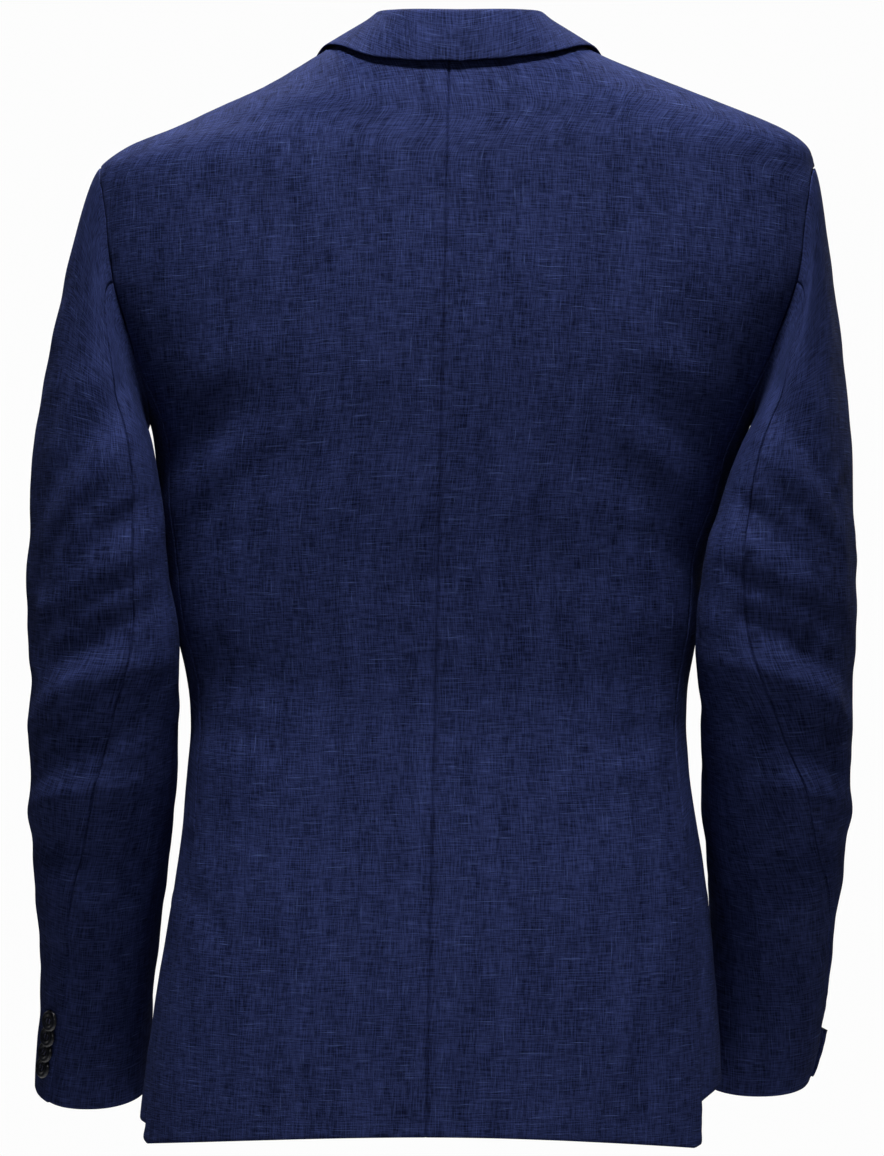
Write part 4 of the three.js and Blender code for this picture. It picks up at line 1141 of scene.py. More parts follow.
@dataclass
class Lapel(ClothPiece):
    """The lapel, folded back along the roll line and lying on the front."""

    thick: float = 1.2
    lift: float = 2.7
    roll: float = 2.6
    roll_share: float = 0.16
    roll_soft: float = 110.0
    roll_in: float = 2.2
    lip: float = 3.0
    lip_wide: float = 2.4
    spring: float = 2.2
    spring_wide: float = 9.0
    spring_soft: float = 60.0
    break_z: float = -400.0
    edge_low: float = -398.0
    edge_high: float = -98.0
    flat_below: float = -385.0
    seam_gap: float = 0.8
    gorge: Gorge = field(default_factory=Gorge)
    edge: Table = field(default_factory=lambda: Table("z", "z x", [
        (-398, -5), (-360, 22), (-300, 58), (-230, 92), (-160, 119), (-98, 138)]))

    def build(self) -> bpy.types.Object:
        """Make the lapel."""
        top_z = self.gorge.start[1] - 1

        def roll(v: Array) -> Array:
            """Roll line."""
            z = lerp(self.break_z, top_z, v)
            return paired(FRONT_EDGE.read("x", z) - self.roll_in, z)

        def outer(v: Array) -> Array:
            """Free edge."""
            z = lerp(self.edge_low, self.edge_high, v)
            return paired(self.edge.read("x", z), z)

        def top(u: Array) -> Array:
            """Gorge seam, then the step out to the tip."""
            first, last = roll(np.array([1.0]))[0], outer(np.array([1.0]))[0]
            below = np.array([0.0, self.seam_gap])
            line = np.empty((len(u), 2))
            for k, share in enumerate(u):
                if share <= 0.5:
                    line[k] = self.gorge.at(2 * self.gorge.joined * share) - below
                else:
                    line[k] = lerp(self.gorge.notch - below, last, 2 * share - 1)
            line[0] = first
            return line

        def bottom(u: Array) -> Array:
            """Break of the front."""
            x = lerp(roll(np.array([0.0]))[0, 0], outer(np.array([0.0]))[0, 0], u)
            return paired(x, lerp(self.break_z, self.edge_low, u))

        u = np.unique(np.concatenate([shares(44, (0.004, 0.009)), np.linspace(0, 0.07, 15), [0.5]]))
        v = shares(130, (0.0015, 0.004))
        flat = fill(u, v, bottom, top, roll, outer)
        z = flat[..., 1]
        places = paired(self.body.length_for_x(flat[..., 0], z), z)
        over = u[None, :] + 0 * z
        above = z - self.flat_below
        rolled = self.roll * np.exp(-((over / self.roll_share) ** 2))
        rolled = rolled * lerp(0.1, 1.0, smooth(over / 0.1))
        lift = self.lift + rolled * smooth(above / self.roll_soft)
        away = edge_distance(places)
        near_roll = (1 - away["left"] / self.lip_wide).clip(0, 1)
        curled = self.lip * (1 - np.sqrt(np.clip(1 - near_roll ** 2, 0, 1)))
        raised = self.spring * np.exp(-((away["right"] / self.spring_wide) ** 2))
        raised = raised * smooth(above / self.spring_soft)
        lift = lift + raised - curled + self.body.lap(self.side, places[..., 0], z)
        return self.finish("lapel", places, lift, finishes("", "right top bottom"))


@dataclass
class Flap(ClothPiece):
    """A pocket flap lying on the front and side, with rounded lower corners."""

    thick: float = 1.3
    start_angle: float = 106.0
    wide: float = 148.0
    high: float = 54.0
    top: float = -533.0
    corner: float = 14.0
    slant: float = 8.0
    lift: float = 2.7
    lower_lift: float = 0.8

    def build(self) -> bpy.types.Object:
        """Make the flap."""
        start = float(self.body.length_to(np.array(self.start_angle), np.array(self.top)))
        u = np.unique(np.concatenate([
            np.linspace(0, 1, 60), 0.5 - 0.5 * np.cos(np.linspace(0, math.pi, 60))]))
        v = shares(20, (0.008, 0.02))
        from_end = np.minimum(u, 1 - u) * self.wide
        turned = np.sqrt(1 - (1 - np.clip(from_end / self.corner, 0, 1)) ** 2)
        high = self.high - self.corner * (1 - turned) * 0.9
        length = start + self.wide * u[None, :] + 0 * v[:, None]
        z = self.top + self.slant * (1 - u[None, :]) * 0.5 - high[None, :] * v[:, None]
        lift = self.lift + self.lower_lift * smooth((self.top - z) / self.high)
        lift = lift + np.maximum(0, self.body.lap(Side.LEFT, length, z))
        edges = finishes("", "left right bottom top")
        return self.finish("pocket_flap", paired(length, z), lift, edges)


@dataclass
class Collar(ClothPiece):
    """The collar, one folded piece round the neck from notch to notch.

    The lines hold, by place along the collar, the degrees round and the height of
    its seam, the point of its fold, and the outer edge of its leaf in plan with
    the leaf's distance out.
    """

    lift: float = 3.8
    cad_thick: float = 1.8
    ends: float = 8.0
    tucked_down: float = 6.5
    tucked_in: float = 1.9
    stand_in: float = 2.4
    stand_down: float = 3.2
    leaf_out: float = 2.6
    leaf_down: float = 3.0
    clear: float = 3.6
    tip_flat: float = 0.4
    tip_wide: float = 0.8
    gorge: Gorge = field(default_factory=Gorge)
    lines: Table = field(default_factory=lambda: Table(
        "t", "t angle z fold_x fold_y fold_z leaf_x leaf_y lift", [
            (0, 0, -4, 0, 68, 25, 0, 77.5, 4.8),
            (1, 30, -3, 32, 62, 26, 34, 75, 4.7),
            (2, 54, -1, 49.5, 44, 27, 63, 66, 4.5),
            (3, 75, 3, 53.5, 21, 26, 81, 46, 4.0),
            (4, 92, 6, 56, 0, 20.5, 91, 18, 3.4),
            (5, 108, 5, 61, -20, 13, 98, -12, 3.2),
            (6, 126, 3, 65, -41, 5, 111, -40, 3),
            (7, 150, -10, 64.5, -62, -9, 119, -62, 3),
            (8, 161, -39, 60.5, -79, -38, 124, -80, 3),
        ]))

    def seam(self, side: Array, at: Array) -> tuple[Array, Array, Array]:
        """The line where the collar is sewn on.

        Args:
            side: One on the left, minus one on the right.
            at: Places along the collar.

        Returns:
            Degrees round, heights and points.
        """
        angle = self.lines.read("angle", at)
        z = np.where(angle < neck_end(self.body), self.neck_height(angle), self.lines.read("z", at))
        return side * angle, z, self.body.point(side * angle, z)

    def profiles(self, t: Array) -> Array:
        """Middle line of the wall at places along the collar, seam to outer edge.

        Args:
            t: Places along the collar, below zero on the right.

        Returns:
            Points, one row of fourteen for each place.
        """
        body = self.body
        side = np.where(t < 0, -1.0, 1.0)
        at = np.abs(t)
        angle, z, on_body = self.seam(side, at)
        normal = body.normal(angle, z)
        half = self.cad_thick / 2
        deeper = (2.4 * smooth((at - 6) / 1.5))[:, None]
        seam = on_body - normal * (half + deeper)
        fold_z = self.lines.read("fold_z", at)
        level = np.minimum(fold_z, 0)
        middle = (body.sections.read("left", level) + body.sections.read("right", level)) / 2
        fold = np.stack([middle + side * self.lines.read("fold_x", at),
                         self.lines.read("fold_y", at), fold_z], axis=-1)
        leaf = body.over_plan(middle + side * self.lines.read("leaf_x", at),
                              self.lines.read("leaf_y", at), self.lines.read("lift", at) - half)
        down = unit(lerp(seam, leaf, 0.5) - fold)
        inward = unit(-normal + down * dots(normal, down))
        stand_top = fold + inward * self.stand_in + down * self.stand_down
        leaf_top = fold - inward * self.leaf_out + down * self.leaf_down
        stand = unit(stand_top - seam)
        ahead = np.minimum(at + 0.05, self.ends)
        along = self.seam(side, ahead)[2] - self.seam(side, ahead - 0.05)[2]
        away = unit(np.cross(along, normal))
        away = away * np.where(away[:, 2:] < 0, -1, 1)
        slanted = np.linalg.norm(np.cross(stand, away), axis=-1, keepdims=True)
        base = seam + away * (0.7 + half * slanted)
        tucked = base - away * self.tucked_down - normal * self.tucked_in
        points = [tucked, base, lerp(base, stand_top, 0.35), lerp(base, stand_top, 0.7), stand_top]
        points += [lerp(stand_top, fold, 0.6) - down * 0.4, fold]
        points += [lerp(leaf_top, fold, 0.6) - down * 0.4, leaf_top]
        end = smooth((at - 6.2) / 1.8)
        for share in (0.2, 0.4, 0.6, 0.8, 1.0):
            bulge = 2 * math.sin(math.pi * share) * (1 - end)[:, None]
            plain = lerp(leaf_top, leaf, share) - inward * bulge * 0.7
            x, height = self.gorge.at(share)
            height = np.full(t.shape, height + 0.6)
            turned = side * body.angle_for(body.length_for_x(np.full(t.shape, x), height), height)
            laid = body.point(turned, height) + body.normal(turned, height) * (self.lift - half)
            clear = lerp(self.clear, self.lift, end) - half
            point = lerp(plain, laid, end[:, None])
            below_seam = smooth((z + 3 - point[:, 2]) / 4)
            over_cloth = np.maximum(below_seam, smooth((at - 4.4) / 0.8))[:, None]
            points.append(lerp(point, body.clear_of(point, clear), over_cloth))
        return np.stack(points, axis=1)

    @staticmethod
    def between(points: Array, places: Array) -> Array:
        """Points on smooth lines through the given ones.

        Args:
            points: Lines of points, along the second axis.
            places: Places along the lines, counted in points.

        Returns:
            The lines at those places.
        """
        last = points.shape[1] - 1
        i = np.clip(np.floor(places).astype(int), 0, last - 1)
        before, after = np.maximum(i - 1, 0), np.minimum(i + 2, last)
        here, next_one = points[:, i], points[:, i + 1]
        slope_here = (next_one - points[:, before]) / 2
        slope_next = (points[:, after] - here) / 2
        return ease(here, slope_here, next_one, slope_next, (places - i)[None, :, None])

    def build(self) -> bpy.types.Object:
        """Make the collar."""
        ends = self.ends - np.array([0.01, 0.03])
        t = np.unique(np.concatenate([np.linspace(-self.ends, self.ends, 281), -ends, ends]))
        places = np.unique(np.concatenate([
            np.linspace(0, 13, 53), np.linspace(4, 8, 25), [12.97, 12.93, 12.87]]))
        middle = self.between(self.profiles(t), places)
        along, across = np.gradient(middle, axis=0), np.gradient(middle, axis=1)
        normal = unit(np.cross(along, across))
        flat = smooth((np.abs(t) - 7.0) / 0.4)[:, None] * smooth(places - 8)[None, :]
        normal = unit(lerp(normal, self.body.outside(middle)[1], flat[..., None]))
        far = (13 - places)[None, :] * 9.0
        tip = (self.ends - np.abs(t))[:, None] * 28.0
        near = np.minimum(far, tip + 0 * far) / self.tip_wide
        pressed = self.tip_flat * np.exp(-near ** 2)
        half = (self.thick / 2 - pressed)[..., None]
        outer, inner = middle + normal * half, middle - normal * half
        run = running(middle, 1)
        uv = paired(t[:, None] * 31.0 + 0 * run, 400 - run) * MM
        obj = sheet_mesh("collar_cloth", outer, inner, uv)
        dress(obj, self.material, "linen", "collar")
        lay_flat(obj, middle)
        return obj


@dataclass
class Sleeve:
    """Both pieces of a sleeve, from the armhole to the cuff.

    Columns count round from the top of the armhole through the back, and rows
    down from it. The sections hold, by height, the outer and the inner x, the y of
    the middle, half the depth, how far the front is pressed outward, the lean of
    the section in degrees and the degrees round to the back seam.
    """

    side: Side
    body: BodyForm
    armhole: Armhole
    material: bpy.types.Material
    thick: float = 1.5
    square: float = 2.15
    seam_gap: float = -0.25
    column_width: float = 12.0
    rows: int = 25
    cap_rows: int = 9
    seam_back: int = 6
    seam_front: int = 19
    front_seam: float = 122.0
    vent_top: float = -575.0
    vent_lift: float = 0.3
    vent_drop: float = 1.4
    vent_under: float = 0.8
    length: float = 640.0
    cap_end: float = -292.0
    cuff_end: float = -703.0
    seam_columns: float = 1.2
    ripple: Ripple = field(default_factory=lambda: Ripple(
        seed=5, height=0.6, shortest=20.0, longest=70.0))
    shape: EdgeShape = field(default_factory=EdgeShape)
    sections: Table = field(default_factory=lambda: Table(
        "z", "z out_left in_left out_right in_right mid_left mid_right half press lean_left "
             "lean_right back_left back_right", [
            (-292, 286, 205.5, 264, 185, 14, 14, 66, 23, 0, 0, -101, -101),
            (-340, 286.5, 201, 265, 170.5, 16, 16, 63, 23, 1, 1, -97, -97),
            (-394, 287.5, 192.5, 266, 164.5, 13, 11, 59, 21.5, 4, 4, -92, -90),
            (-435, 290.5, 190.5, 268, 166, 7, 3, 57, 14, 7, 8, -87, -80),
            (-476, 291.5, 191, 268.5, 166.5, -2, -8, 55, 8, 12, 12, -81, -68),
            (-518, 291, 194.5, 267, 167.5, -13, -22, 53, 3, 15, 14, -75, -56),
            (-560, 290, 199.5, 264, 172.5, -24, -38, 51, 0, 17, 13, -68, -42),
            (-600, 287.5, 205.5, 260, 174, -36, -56, 49, 0, 17, 12, -63, -27),
            (-644, 288.5, 210.5, 257, 172, -50, -74, 48, 0, 17, 11, -58, -8),
            (-687, 293, 213.5, 251, 171, -63, -90, 47, 0, 17, 10, -50, 6),
            (-703, 294, 214, 246.5, 171, -67, -95, 46, 0, 17, 10, -47, 9),
        ]))

    def __post_init__(self) -> None:
        """Measure the armhole, to spread the columns round the sleeve."""
        angle, z = self.armhole.place(np.arange(self.armhole.total + 1.0))
        run = running(self.body.point(angle, z), 0)
        self.degrees = -360 * run / run[-1]

    def start(self, column: Array) -> tuple[Array, Array, Array]:
        """Where the sleeve leaves the armhole.

        Args:
            column: Columns round.

        Returns:
            Points, directions of leaving and outward directions.
        """
        side = self.side.value
        angle, z = self.armhole.place(column)
        point = self.body.point(side * angle, z)
        normal = self.body.normal(side * angle, z)
        (angle_on, z_on), (angle_off, z_off) = (
            self.armhole.place(column + shift) for shift in (0.1, -0.1))
        along = self.body.point(side * angle_on, z_on) - self.body.point(side * angle_off, z_off)
        middle = self.body.point(np.array(side * 90.0), np.array(-150.0))
        inside = unit(np.cross(along, normal))
        inside = inside * np.where(dots(inside, middle - point) < 0, -1, 1)
        turn = np.radians(lerp(14, 86, smooth((-80 - z) / 165)))[..., None]
        leave = inside * np.cos(turn) + normal * np.sin(turn)
        out = normal * np.cos(turn) - inside * np.sin(turn)
        return point + leave * self.seam_gap, leave, out

    def angle(self, column: Array, z: Array) -> Array:
        """Degrees round the sleeve at a column; the seams wander down the arm."""
        total = self.armhole.total
        level = np.minimum(z, self.cap_end)
        own = np.interp(np.clip(column, 0, total), np.arange(total + 1), self.degrees)
        back, front = self.degrees[self.seam_back], self.degrees[self.seam_front]
        want_back = self.sections.read(f"back_{self.side.label}", level)
        want_front = self.front_seam - 360
        first = want_back * own / back
        second = lerp(want_back, want_front, (own - back) / (front - back))
        third = lerp(want_front, -360, (own - front) / (-360 - front))
        return np.where(own > back, first, np.where(own > front, second, third))

    def ring(self, degrees: Array, z: Array) -> Array:
        """Points on the sleeve's sections below the cap."""
        label, side = self.side.label, self.side.value
        read = self.sections.read
        outer, inner = read(f"out_{label}", z), read(f"in_{label}", z)
        lean = np.radians(read(f"lean_{label}", z))
        a = np.radians(degrees)
        out = reach(a, self.square)
        forward = read("half", z) * out * np.sin(a)
        pressed = read("press", z) * out * np.sin(a)
        x = (outer + inner) / 2 + (outer - inner) / 2 * out * np.cos(a) + pressed
        return np.stack([
            side * x,
            read(f"mid_{label}", z) - forward * np.cos(lean),
            z + forward * np.sin(lean),
        ], axis=-1)

    def base(self, column: Array, down: Array) -> Array:
        """Points of the plain sleeve.

        Args:
            column: Columns round.
            down: Places down the sleeve from 0 to 1.

        Returns:
            The points.
        """
        column, down = np.broadcast_arrays(np.asarray(column, dtype=float), down)
        column = np.mod(column, self.armhole.total)
        share = self.cap_rows / self.rows
        z = lerp(self.cap_end, self.cuff_end, np.clip((down - share) / (1 - share), 0, 1))
        below = self.ring(self.angle(column, z), z)
        point, leave, _ = self.start(column)
        cap = np.full(column.shape, self.cap_end)
        degrees = self.angle(column, cap)
        end = self.ring(degrees, cap)
        end_way = unit(self.ring(degrees, cap - 4) - end)
        span = np.linalg.norm(end - point, axis=-1, keepdims=True)
        t = (np.clip(down, 0, share) / share)[..., None]
        top = smooth((point[..., 2:] + 200) / 110)
        slope_start = leave * span * lerp(0.42, 0.3, top)
        slope_end = end_way * span * lerp(0.95, 0.7, top)
        arc = ease(point, slope_start, end, slope_end, t)
        return np.where((down >= share)[..., None], below, arc)

    def normal(self, column: Array, down: Array) -> Array:
        """Outward directions of the sleeve."""
        around = self.base(column + 0.2, down) - self.base(column - 0.2, down)
        low, high = np.minimum(1.0, down + 0.01), np.maximum(0.0, down - 0.01)
        along = self.base(column, low) - self.base(column, high)
        own = unit(np.cross(along, around) * self.side.value)
        return unit(lerp(self.start(column)[2], own, smooth(down / 0.04)[..., None]))

    def cloth(self, column: Array, down: Array, lift: Array) -> Array:
        """Points of the sleeve's cloth, with its folds.

        Args:
            column: Columns round.
            down: Places down the sleeve.
            lift: Distance out.

        Returns:
            The points.
        """
        point = self.base(column, down)
        z = point[..., 2]
        degrees = self.angle(np.mod(column, self.armhole.total), np.minimum(z, self.cap_end))
        around = np.where(degrees < -180, degrees + 360, degrees)
        fade = smooth((down - 0.06) / 0.16) * smooth((1 - down) / 0.12)
        folds = SLEEVE_FOLDS.at(self.side, around, z) + SLEEVE_CREASES.at(self.side, around, z)
        folds = folds + self.ripple.at(point[..., 0] + point[..., 1], z)
        return point + self.normal(column, down) * (lift + folds * fade)[..., None]

    def panel(self, part: SleevePart) -> None:
        """Make one of the two pieces.

        Args:
            part: Which piece.
        """
        under = part is SleevePart.UNDER
        total = self.armhole.total
        ends = (self.seam_back, self.seam_front) if under else (self.seam_front, total + self.seam_back)
        span = ends[1] - ends[0]
        u = shares(span * 6, (0.002, 0.005, 0.009))
        down = shares(self.rows * 8, (0.0008, 0.002, 0.004))
        column = ends[0] + span * u[None, :] + 0 * down[:, None]
        down = down[:, None] + 0 * column
        z = self.base(column, down)[..., 2]
        first = smooth(1 - (column - ends[0]) / self.seam_columns)
        last = smooth(1 - (ends[1] - column) / self.seam_columns)
        at_vent = (first if under else last) * smooth((self.vent_top - z) / 30)
        at_cap = 1 + 2 * (1 - smooth(down / 0.4))
        shift = (first - last) * at_cap * (self.seam_gap / 2 / self.column_width)
        shift = shift - at_vent * (self.vent_under if under else 0.0)
        lift = at_vent * (-self.vent_drop if under else self.vent_lift)
        flat = paired(column * self.column_width, -down * self.length)
        edges = finishes("left right bottom", "top")
        more, less = self.shape.lifts(edge_distance(flat), edges)
        outer = self.cloth(column + shift, down, lift + more)
        inner = self.cloth(column + shift, down, lift + less - self.thick)
        name = f"sleeve_{part.value}_{self.side.label}"
        obj = sheet_mesh(f"{name}_cloth", outer, inner, flat * MM * np.array([self.side.value, 1]))
        dress(obj, self.material, "linen", name)
        lay_flat(obj, self.base(column, down))

    def build(self) -> None:
        """Make both pieces."""
        for part in SleevePart:
            self.panel(part)


# Outline of a turned button from the dished middle of its face over the rim to the
# edge of its back, as shares of the radius and of the thickness.
BUTTON_OUTLINE = np.array([
    (0.5120, 0.2800), (0.5560, 0.3533), (0.6000, 0.4267), (0.6400, 0.4580), (0.6767, 0.4800),
    (0.7133, 0.5000), (0.7380, 0.5000), (0.7600, 0.5000), (0.7833, 0.4840), (0.8200, 0.4400),
    (0.8567, 0.3960), (0.8893, 0.3147), (0.9150, 0.2120), (0.9407, 0.1093), (0.9617, -0.0167),
    (0.9800, -0.1450), (0.9983, -0.2653), (0.9900, -0.3497), (0.9790, -0.4340), (0.9627, -0.4833),
    (0.9223, -0.4907), (0.8820, -0.4980), (0.8167, -0.5000), (0.7213, -0.5000)])


@dataclass
class Button:
    """A four hole button with a raised rim."""

    name: str
    centre: Array
    face: Array
    along: Array
    radius: float
    thick: float
    material: bpy.types.Material
    hole_out: float = 0.2
    hole_radius: float = 0.11
    hole_deep: float = 0.45
    dish: float = 0.2
    dish_rings: int = 12
    sides: int = 72

    def axes(self) -> tuple[Array, Array, Array]:
        """Across, up and face directions of the button."""
        face = unit(self.face)
        up = unit(self.along - face * np.dot(self.along, face))
        return np.cross(up, face), up, face

    def build(self) -> bpy.types.Object:
        """Make the button."""
        r, t = self.radius, self.thick
        dish = np.linspace(0, 0.5, self.dish_rings + 2)[:-1]
        across = np.concatenate([dish, BUTTON_OUTLINE[:, 0], [0.0]])
        height = np.concatenate([self.dish + 0 * dish, BUTTON_OUTLINE[:, 1], [-0.5]])
        turn = np.arange(self.sides) / self.sides * 2 * math.pi
        x = across[:, None] * np.cos(turn)
        y = across[:, None] * np.sin(turn)
        z = height[:, None] + 0 * x
        for hole_x in (-self.hole_out, self.hole_out):
            for hole_y in (-self.hole_out, self.hole_out):
                near = np.hypot(x - hole_x, y - hole_y) / self.hole_radius
                well = smooth((1.25 - near) / 0.5) * (z > 0.15)
                z = z - self.hole_deep * well
        right, up, face = self.axes()
        points = (self.centre + x[..., None] * r * right + y[..., None] * r * up
                  + z[..., None] * t * face)
        count, sides = points.shape[:2]
        ring, spoke = np.arange(count - 1)[:, None] * sides, np.arange(sides)
        a, b = (ring + spoke).ravel(), (ring + (spoke + 1) % sides).ravel()
        faces = np.stack([a, b, b + sides, a + sides], axis=1)
        flat = paired(x, y).reshape(-1, 2) * r * MM
        obj = mesh_object(f"{self.name}_turned", points.reshape(-1, 3) * MM, faces, flat)
        dress(obj, self.material, "button", self.name)
        return obj

    def strands(self) -> list[tuple[Array, Array]]:
        """Ends of the threads that cross the button between its holes."""
        right, up, face = self.axes()
        out, level = self.hole_out * self.radius, self.thick * 0.27
        lines = []
        for side in (-1, 1):
            for shift in (-0.25, 0.25):
                x = side * out + shift
                middle = self.centre + right * x + face * level
                reached = up * (out * 1.1)
                lines.append((middle - reached, middle + reached))
        return lines


def thread_group(name: str) -> bpy.types.NodeTree:
    """A geometry node group that turns the edges of a mesh into laid threads.

    Args:
        name: Name of the group.

    Returns:
        The group, with the inputs Radius, Sides and Finish.
    """
    group = bpy.data.node_groups.new(name, "GeometryNodeTree")
    face = group.interface
    face.new_socket("Geometry", in_out="INPUT", socket_type="NodeSocketGeometry")
    for label, kind in (("Radius", "NodeSocketFloat"), ("Sides", "NodeSocketInt"),
                        ("Finish", "NodeSocketMaterial")):
        face.new_socket(label, in_out="INPUT", socket_type=kind)
    face.new_socket("Geometry", in_out="OUTPUT", socket_type="NodeSocketGeometry")
    nodes, links = group.nodes, group.links
    start, end = nodes.new("NodeGroupInput"), nodes.new("NodeGroupOutput")
    to_curve = nodes.new("GeometryNodeMeshToCurve")
    circle = nodes.new("GeometryNodeCurvePrimitiveCircle")
    to_mesh = nodes.new("GeometryNodeCurveToMesh")
    to_mesh.inputs["Fill Caps"].default_value = True
    realize = nodes.new("GeometryNodeRealizeInstances")
    colour = nodes.new("GeometryNodeSetMaterial")
    links.new(start.outputs["Geometry"], to_curve.inputs["Mesh"])
    links.new(start.outputs["Radius"], circle.inputs["Radius"])
    links.new(start.outputs["Sides"], circle.inputs["Resolution"])
    links.new(to_curve.outputs["Curve"], to_mesh.inputs["Curve"])
    links.new(circle.outputs["Curve"], to_mesh.inputs["Profile Curve"])
    links.new(to_mesh.outputs["Mesh"], realize.inputs["Geometry"])
    links.new(realize.outputs["Geometry"], colour.inputs["Geometry"])
    links.new(start.outputs["Finish"], colour.inputs["Material"])
    links.new(colour.outputs["Geometry"], end.inputs["Geometry"])
    return group


def threads(name: str, lines: Sequence[Sequence[Array]], radius: float,
            material: bpy.types.Material) -> bpy.types.Object:
    """Laid threads along lines of points.

    Args:
        name: Name of the piece.
        lines: Each thread's points, in millimetres.
        radius: Half the thread's thickness.
        material: Its finish.

    Returns:
        The finished object.
    """
    points = [tuple(np.asarray(p) * MM) for line in lines for p in line]
    edges, first = [], 0
    for line in lines:
        edges += [(first + k, first + k + 1) for k in range(len(line) - 1)]
        first += len(line)
    mesh = bpy.data.meshes.new(name)
    mesh.from_pydata(points, edges, [])
    obj = bpy.data.objects.new(name, mesh)
    bpy.context.scene.collection.objects.link(obj)
    group = thread_group(f"{name} laid")
    modifier = obj.modifiers.new("laid", "NODES")
    modifier.node_group = group
    values = {"Radius": radius * MM, "Sides": 6, "Finish": material}
    for item in group.interface.items_tree:
        if item.in_out == "INPUT" and item.name in values:
            modifier[item.identifier] = values[item.name]
    shaped = bpy.data.meshes.new_from_object(
        obj.evaluated_get(bpy.context.evaluated_depsgraph_get()))
    obj.modifiers.clear()
    obj.data = shaped
    shaped.name = name
    shaped.shade_smooth()
    dress(obj, material, "linen")
    return obj


@dataclass
class CuffButtons:
    """Four overlapping buttons by the vent of one cuff."""

    sleeve: Sleeve
    horn: bpy.types.Material
    thread: bpy.types.Material
    radius: float = 7.5
    thick: float = 2.2
    tilt: float = 12.0
    count: int = 4
    top: float = -644.0
    pitch: float = 11.5
    lift_left: float = 2.9
    lift_right: float = 2.5
    from_vent_left: float = 1.15
    from_vent_right: float = 8.4
    thread_radius: float = 0.28

    def build(self) -> None:
        """Make the buttons and their threads."""
        sleeve = self.sleeve
        share = sleeve.cap_rows / sleeve.rows
        left = sleeve.side is Side.LEFT
        column = sleeve.seam_back - (self.from_vent_left if left else self.from_vent_right)
        lift = self.lift_left if left else self.lift_right
        lines: list[tuple[Array, Array]] = []
        for k in range(self.count):
            z = self.top - k * self.pitch
            down = share + (1 - share) * (z - sleeve.cap_end) / (sleeve.cuff_end - sleeve.cap_end)
            at, place = np.array([column]), np.array([down])
            normal = sleeve.normal(at, place)[0]
            base = sleeve.base(at, place)[0]
            along = unit(sleeve.base(at, place + 0.01)[0] - base)
            turn = math.radians(self.tilt)
            button = Button(f"cuff_button_{sleeve.side.label}_{k + 1}", base + normal * lift,
                            normal * math.cos(turn) - along * math.sin(turn), along,
                            self.radius, self.thick, self.horn)
            button.build()
            lines += button.strands()
        threads(f"cuff_thread_{sleeve.side.label}", lines, self.thread_radius, self.thread)


@dataclass
class FrontButtons:
    """The two buttons of the front with their buttonholes."""

    body: BodyForm
    horn: bpy.types.Material
    thread: bpy.types.Material
    radius: float = 10.5
    thick: float = 3.2
    lift: float = 2.0
    heights: tuple[float, ...] = (-412.0, -508.0)
    hole_from: float = -4.0
    hole_to: float = 21.0
    hole_wide: float = 1.5
    hole_slit: float = 0.35
    stitch_lift: float = 0.25
    stitch_step: float = 0.75
    thread_radius: float = 0.36
    stitch_radius: float = 0.3

    def buttonhole(self, z: float) -> list[tuple[Array, Array]]:
        """Short stitches round one buttonhole.

        Args:
            z: Height of the buttonhole.

        Returns:
            The two ends of every stitch.
        """
        lines = []
        half = float(self.body.half_round(np.array(z)))
        straight = np.arange(self.hole_from, self.hole_to, self.stitch_step)
        spots = [(x, side, 0.0) for side in (-1, 1) for x in straight]
        spots += [(self.hole_to, 1.0, a) for a in np.linspace(0, math.pi, 11)]
        for x, side, turn in spots:
            ends = []
            for out in (self.hole_slit, self.hole_wide):
                dx = out * math.sin(turn)
                dz = out * math.cos(turn) * side
                length, height = np.array(half - x - dx), np.array(z + dz)
                lift = self.body.lap(Side.LEFT, length, height) + self.stitch_lift
                ends.append(self.body.cloth(Side.LEFT, length, height, lift))
            lines.append((ends[0], ends[1]))
        return lines

    def build(self) -> None:
        """Make the buttons, their threads and the buttonholes."""
        lines: list[tuple[Array, Array]] = []
        holes: list[tuple[Array, Array]] = []
        for k, z in enumerate(self.heights):
            height, middle = np.array(z), np.array(CENTRE_FRONT)
            normal = self.body.normal(middle, height)
            centre = self.body.point(middle, height) + normal * (self.body.lap_over + self.lift)
            button = Button(f"front_button_{k + 1}", centre, normal, np.array([0.0, 0.0, 1.0]),
                            self.radius, self.thick, self.horn)
            button.build()
            lines += button.strands()
            holes += self.buttonhole(z)
        threads("front_button_thread", lines, self.thread_radius, self.thread)
        threads("buttonhole_thread", holes, self.stitch_radius, self.thread)


@dataclass
class BarTacks:
    """Short rows of thread that hold the ends of each pocket."""

    body: BodyForm
    thread: bpy.types.Material
    long: float = 5.0
    stitches: int = 5
    step: float = 0.5
    lift: float = 0.3
    above: float = 5.0
    outside: float = 1.0
    thread_radius: float = 0.26

    def build(self, flap: Flap) -> None:
        """Make the tacks.

        Args:
            flap: A pocket flap, for the places of its two upper corners.
        """
        for side in Side:
            lines = []
            start = float(self.body.length_to(np.array(flap.start_angle), np.array(flap.top)))
            for where in (start - self.outside, start + flap.wide - self.long + self.outside):
                for k in range(self.stitches):
                    z = np.array(flap.top + self.above - k * self.step)
                    ends = []
                    for x in (0.0, self.long * 0.5, self.long):
                        length = np.array(where + x)
                        out = np.maximum(0.0, self.body.lap(side, length, z)) + self.lift
                        ends.append(self.body.cloth(side, length, z, out))
                    lines.append(ends)
            threads(f"tacks_{side.label}", lines, self.thread_radius, self.thread)


@dataclass(frozen=True)
class Streak:
    """Noise stretched along the cloth, cut to a range.

    The scale counts features a metre across and up the cloth. The noise value
    low becomes 0 and high becomes 1.
    """

    across: float
    up: float
    detail: float
    low: float
    high: float

    def turned(self) -> "Streak":
        """The same noise along the other threads."""
        return replace(self, across=self.up, up=self.across)


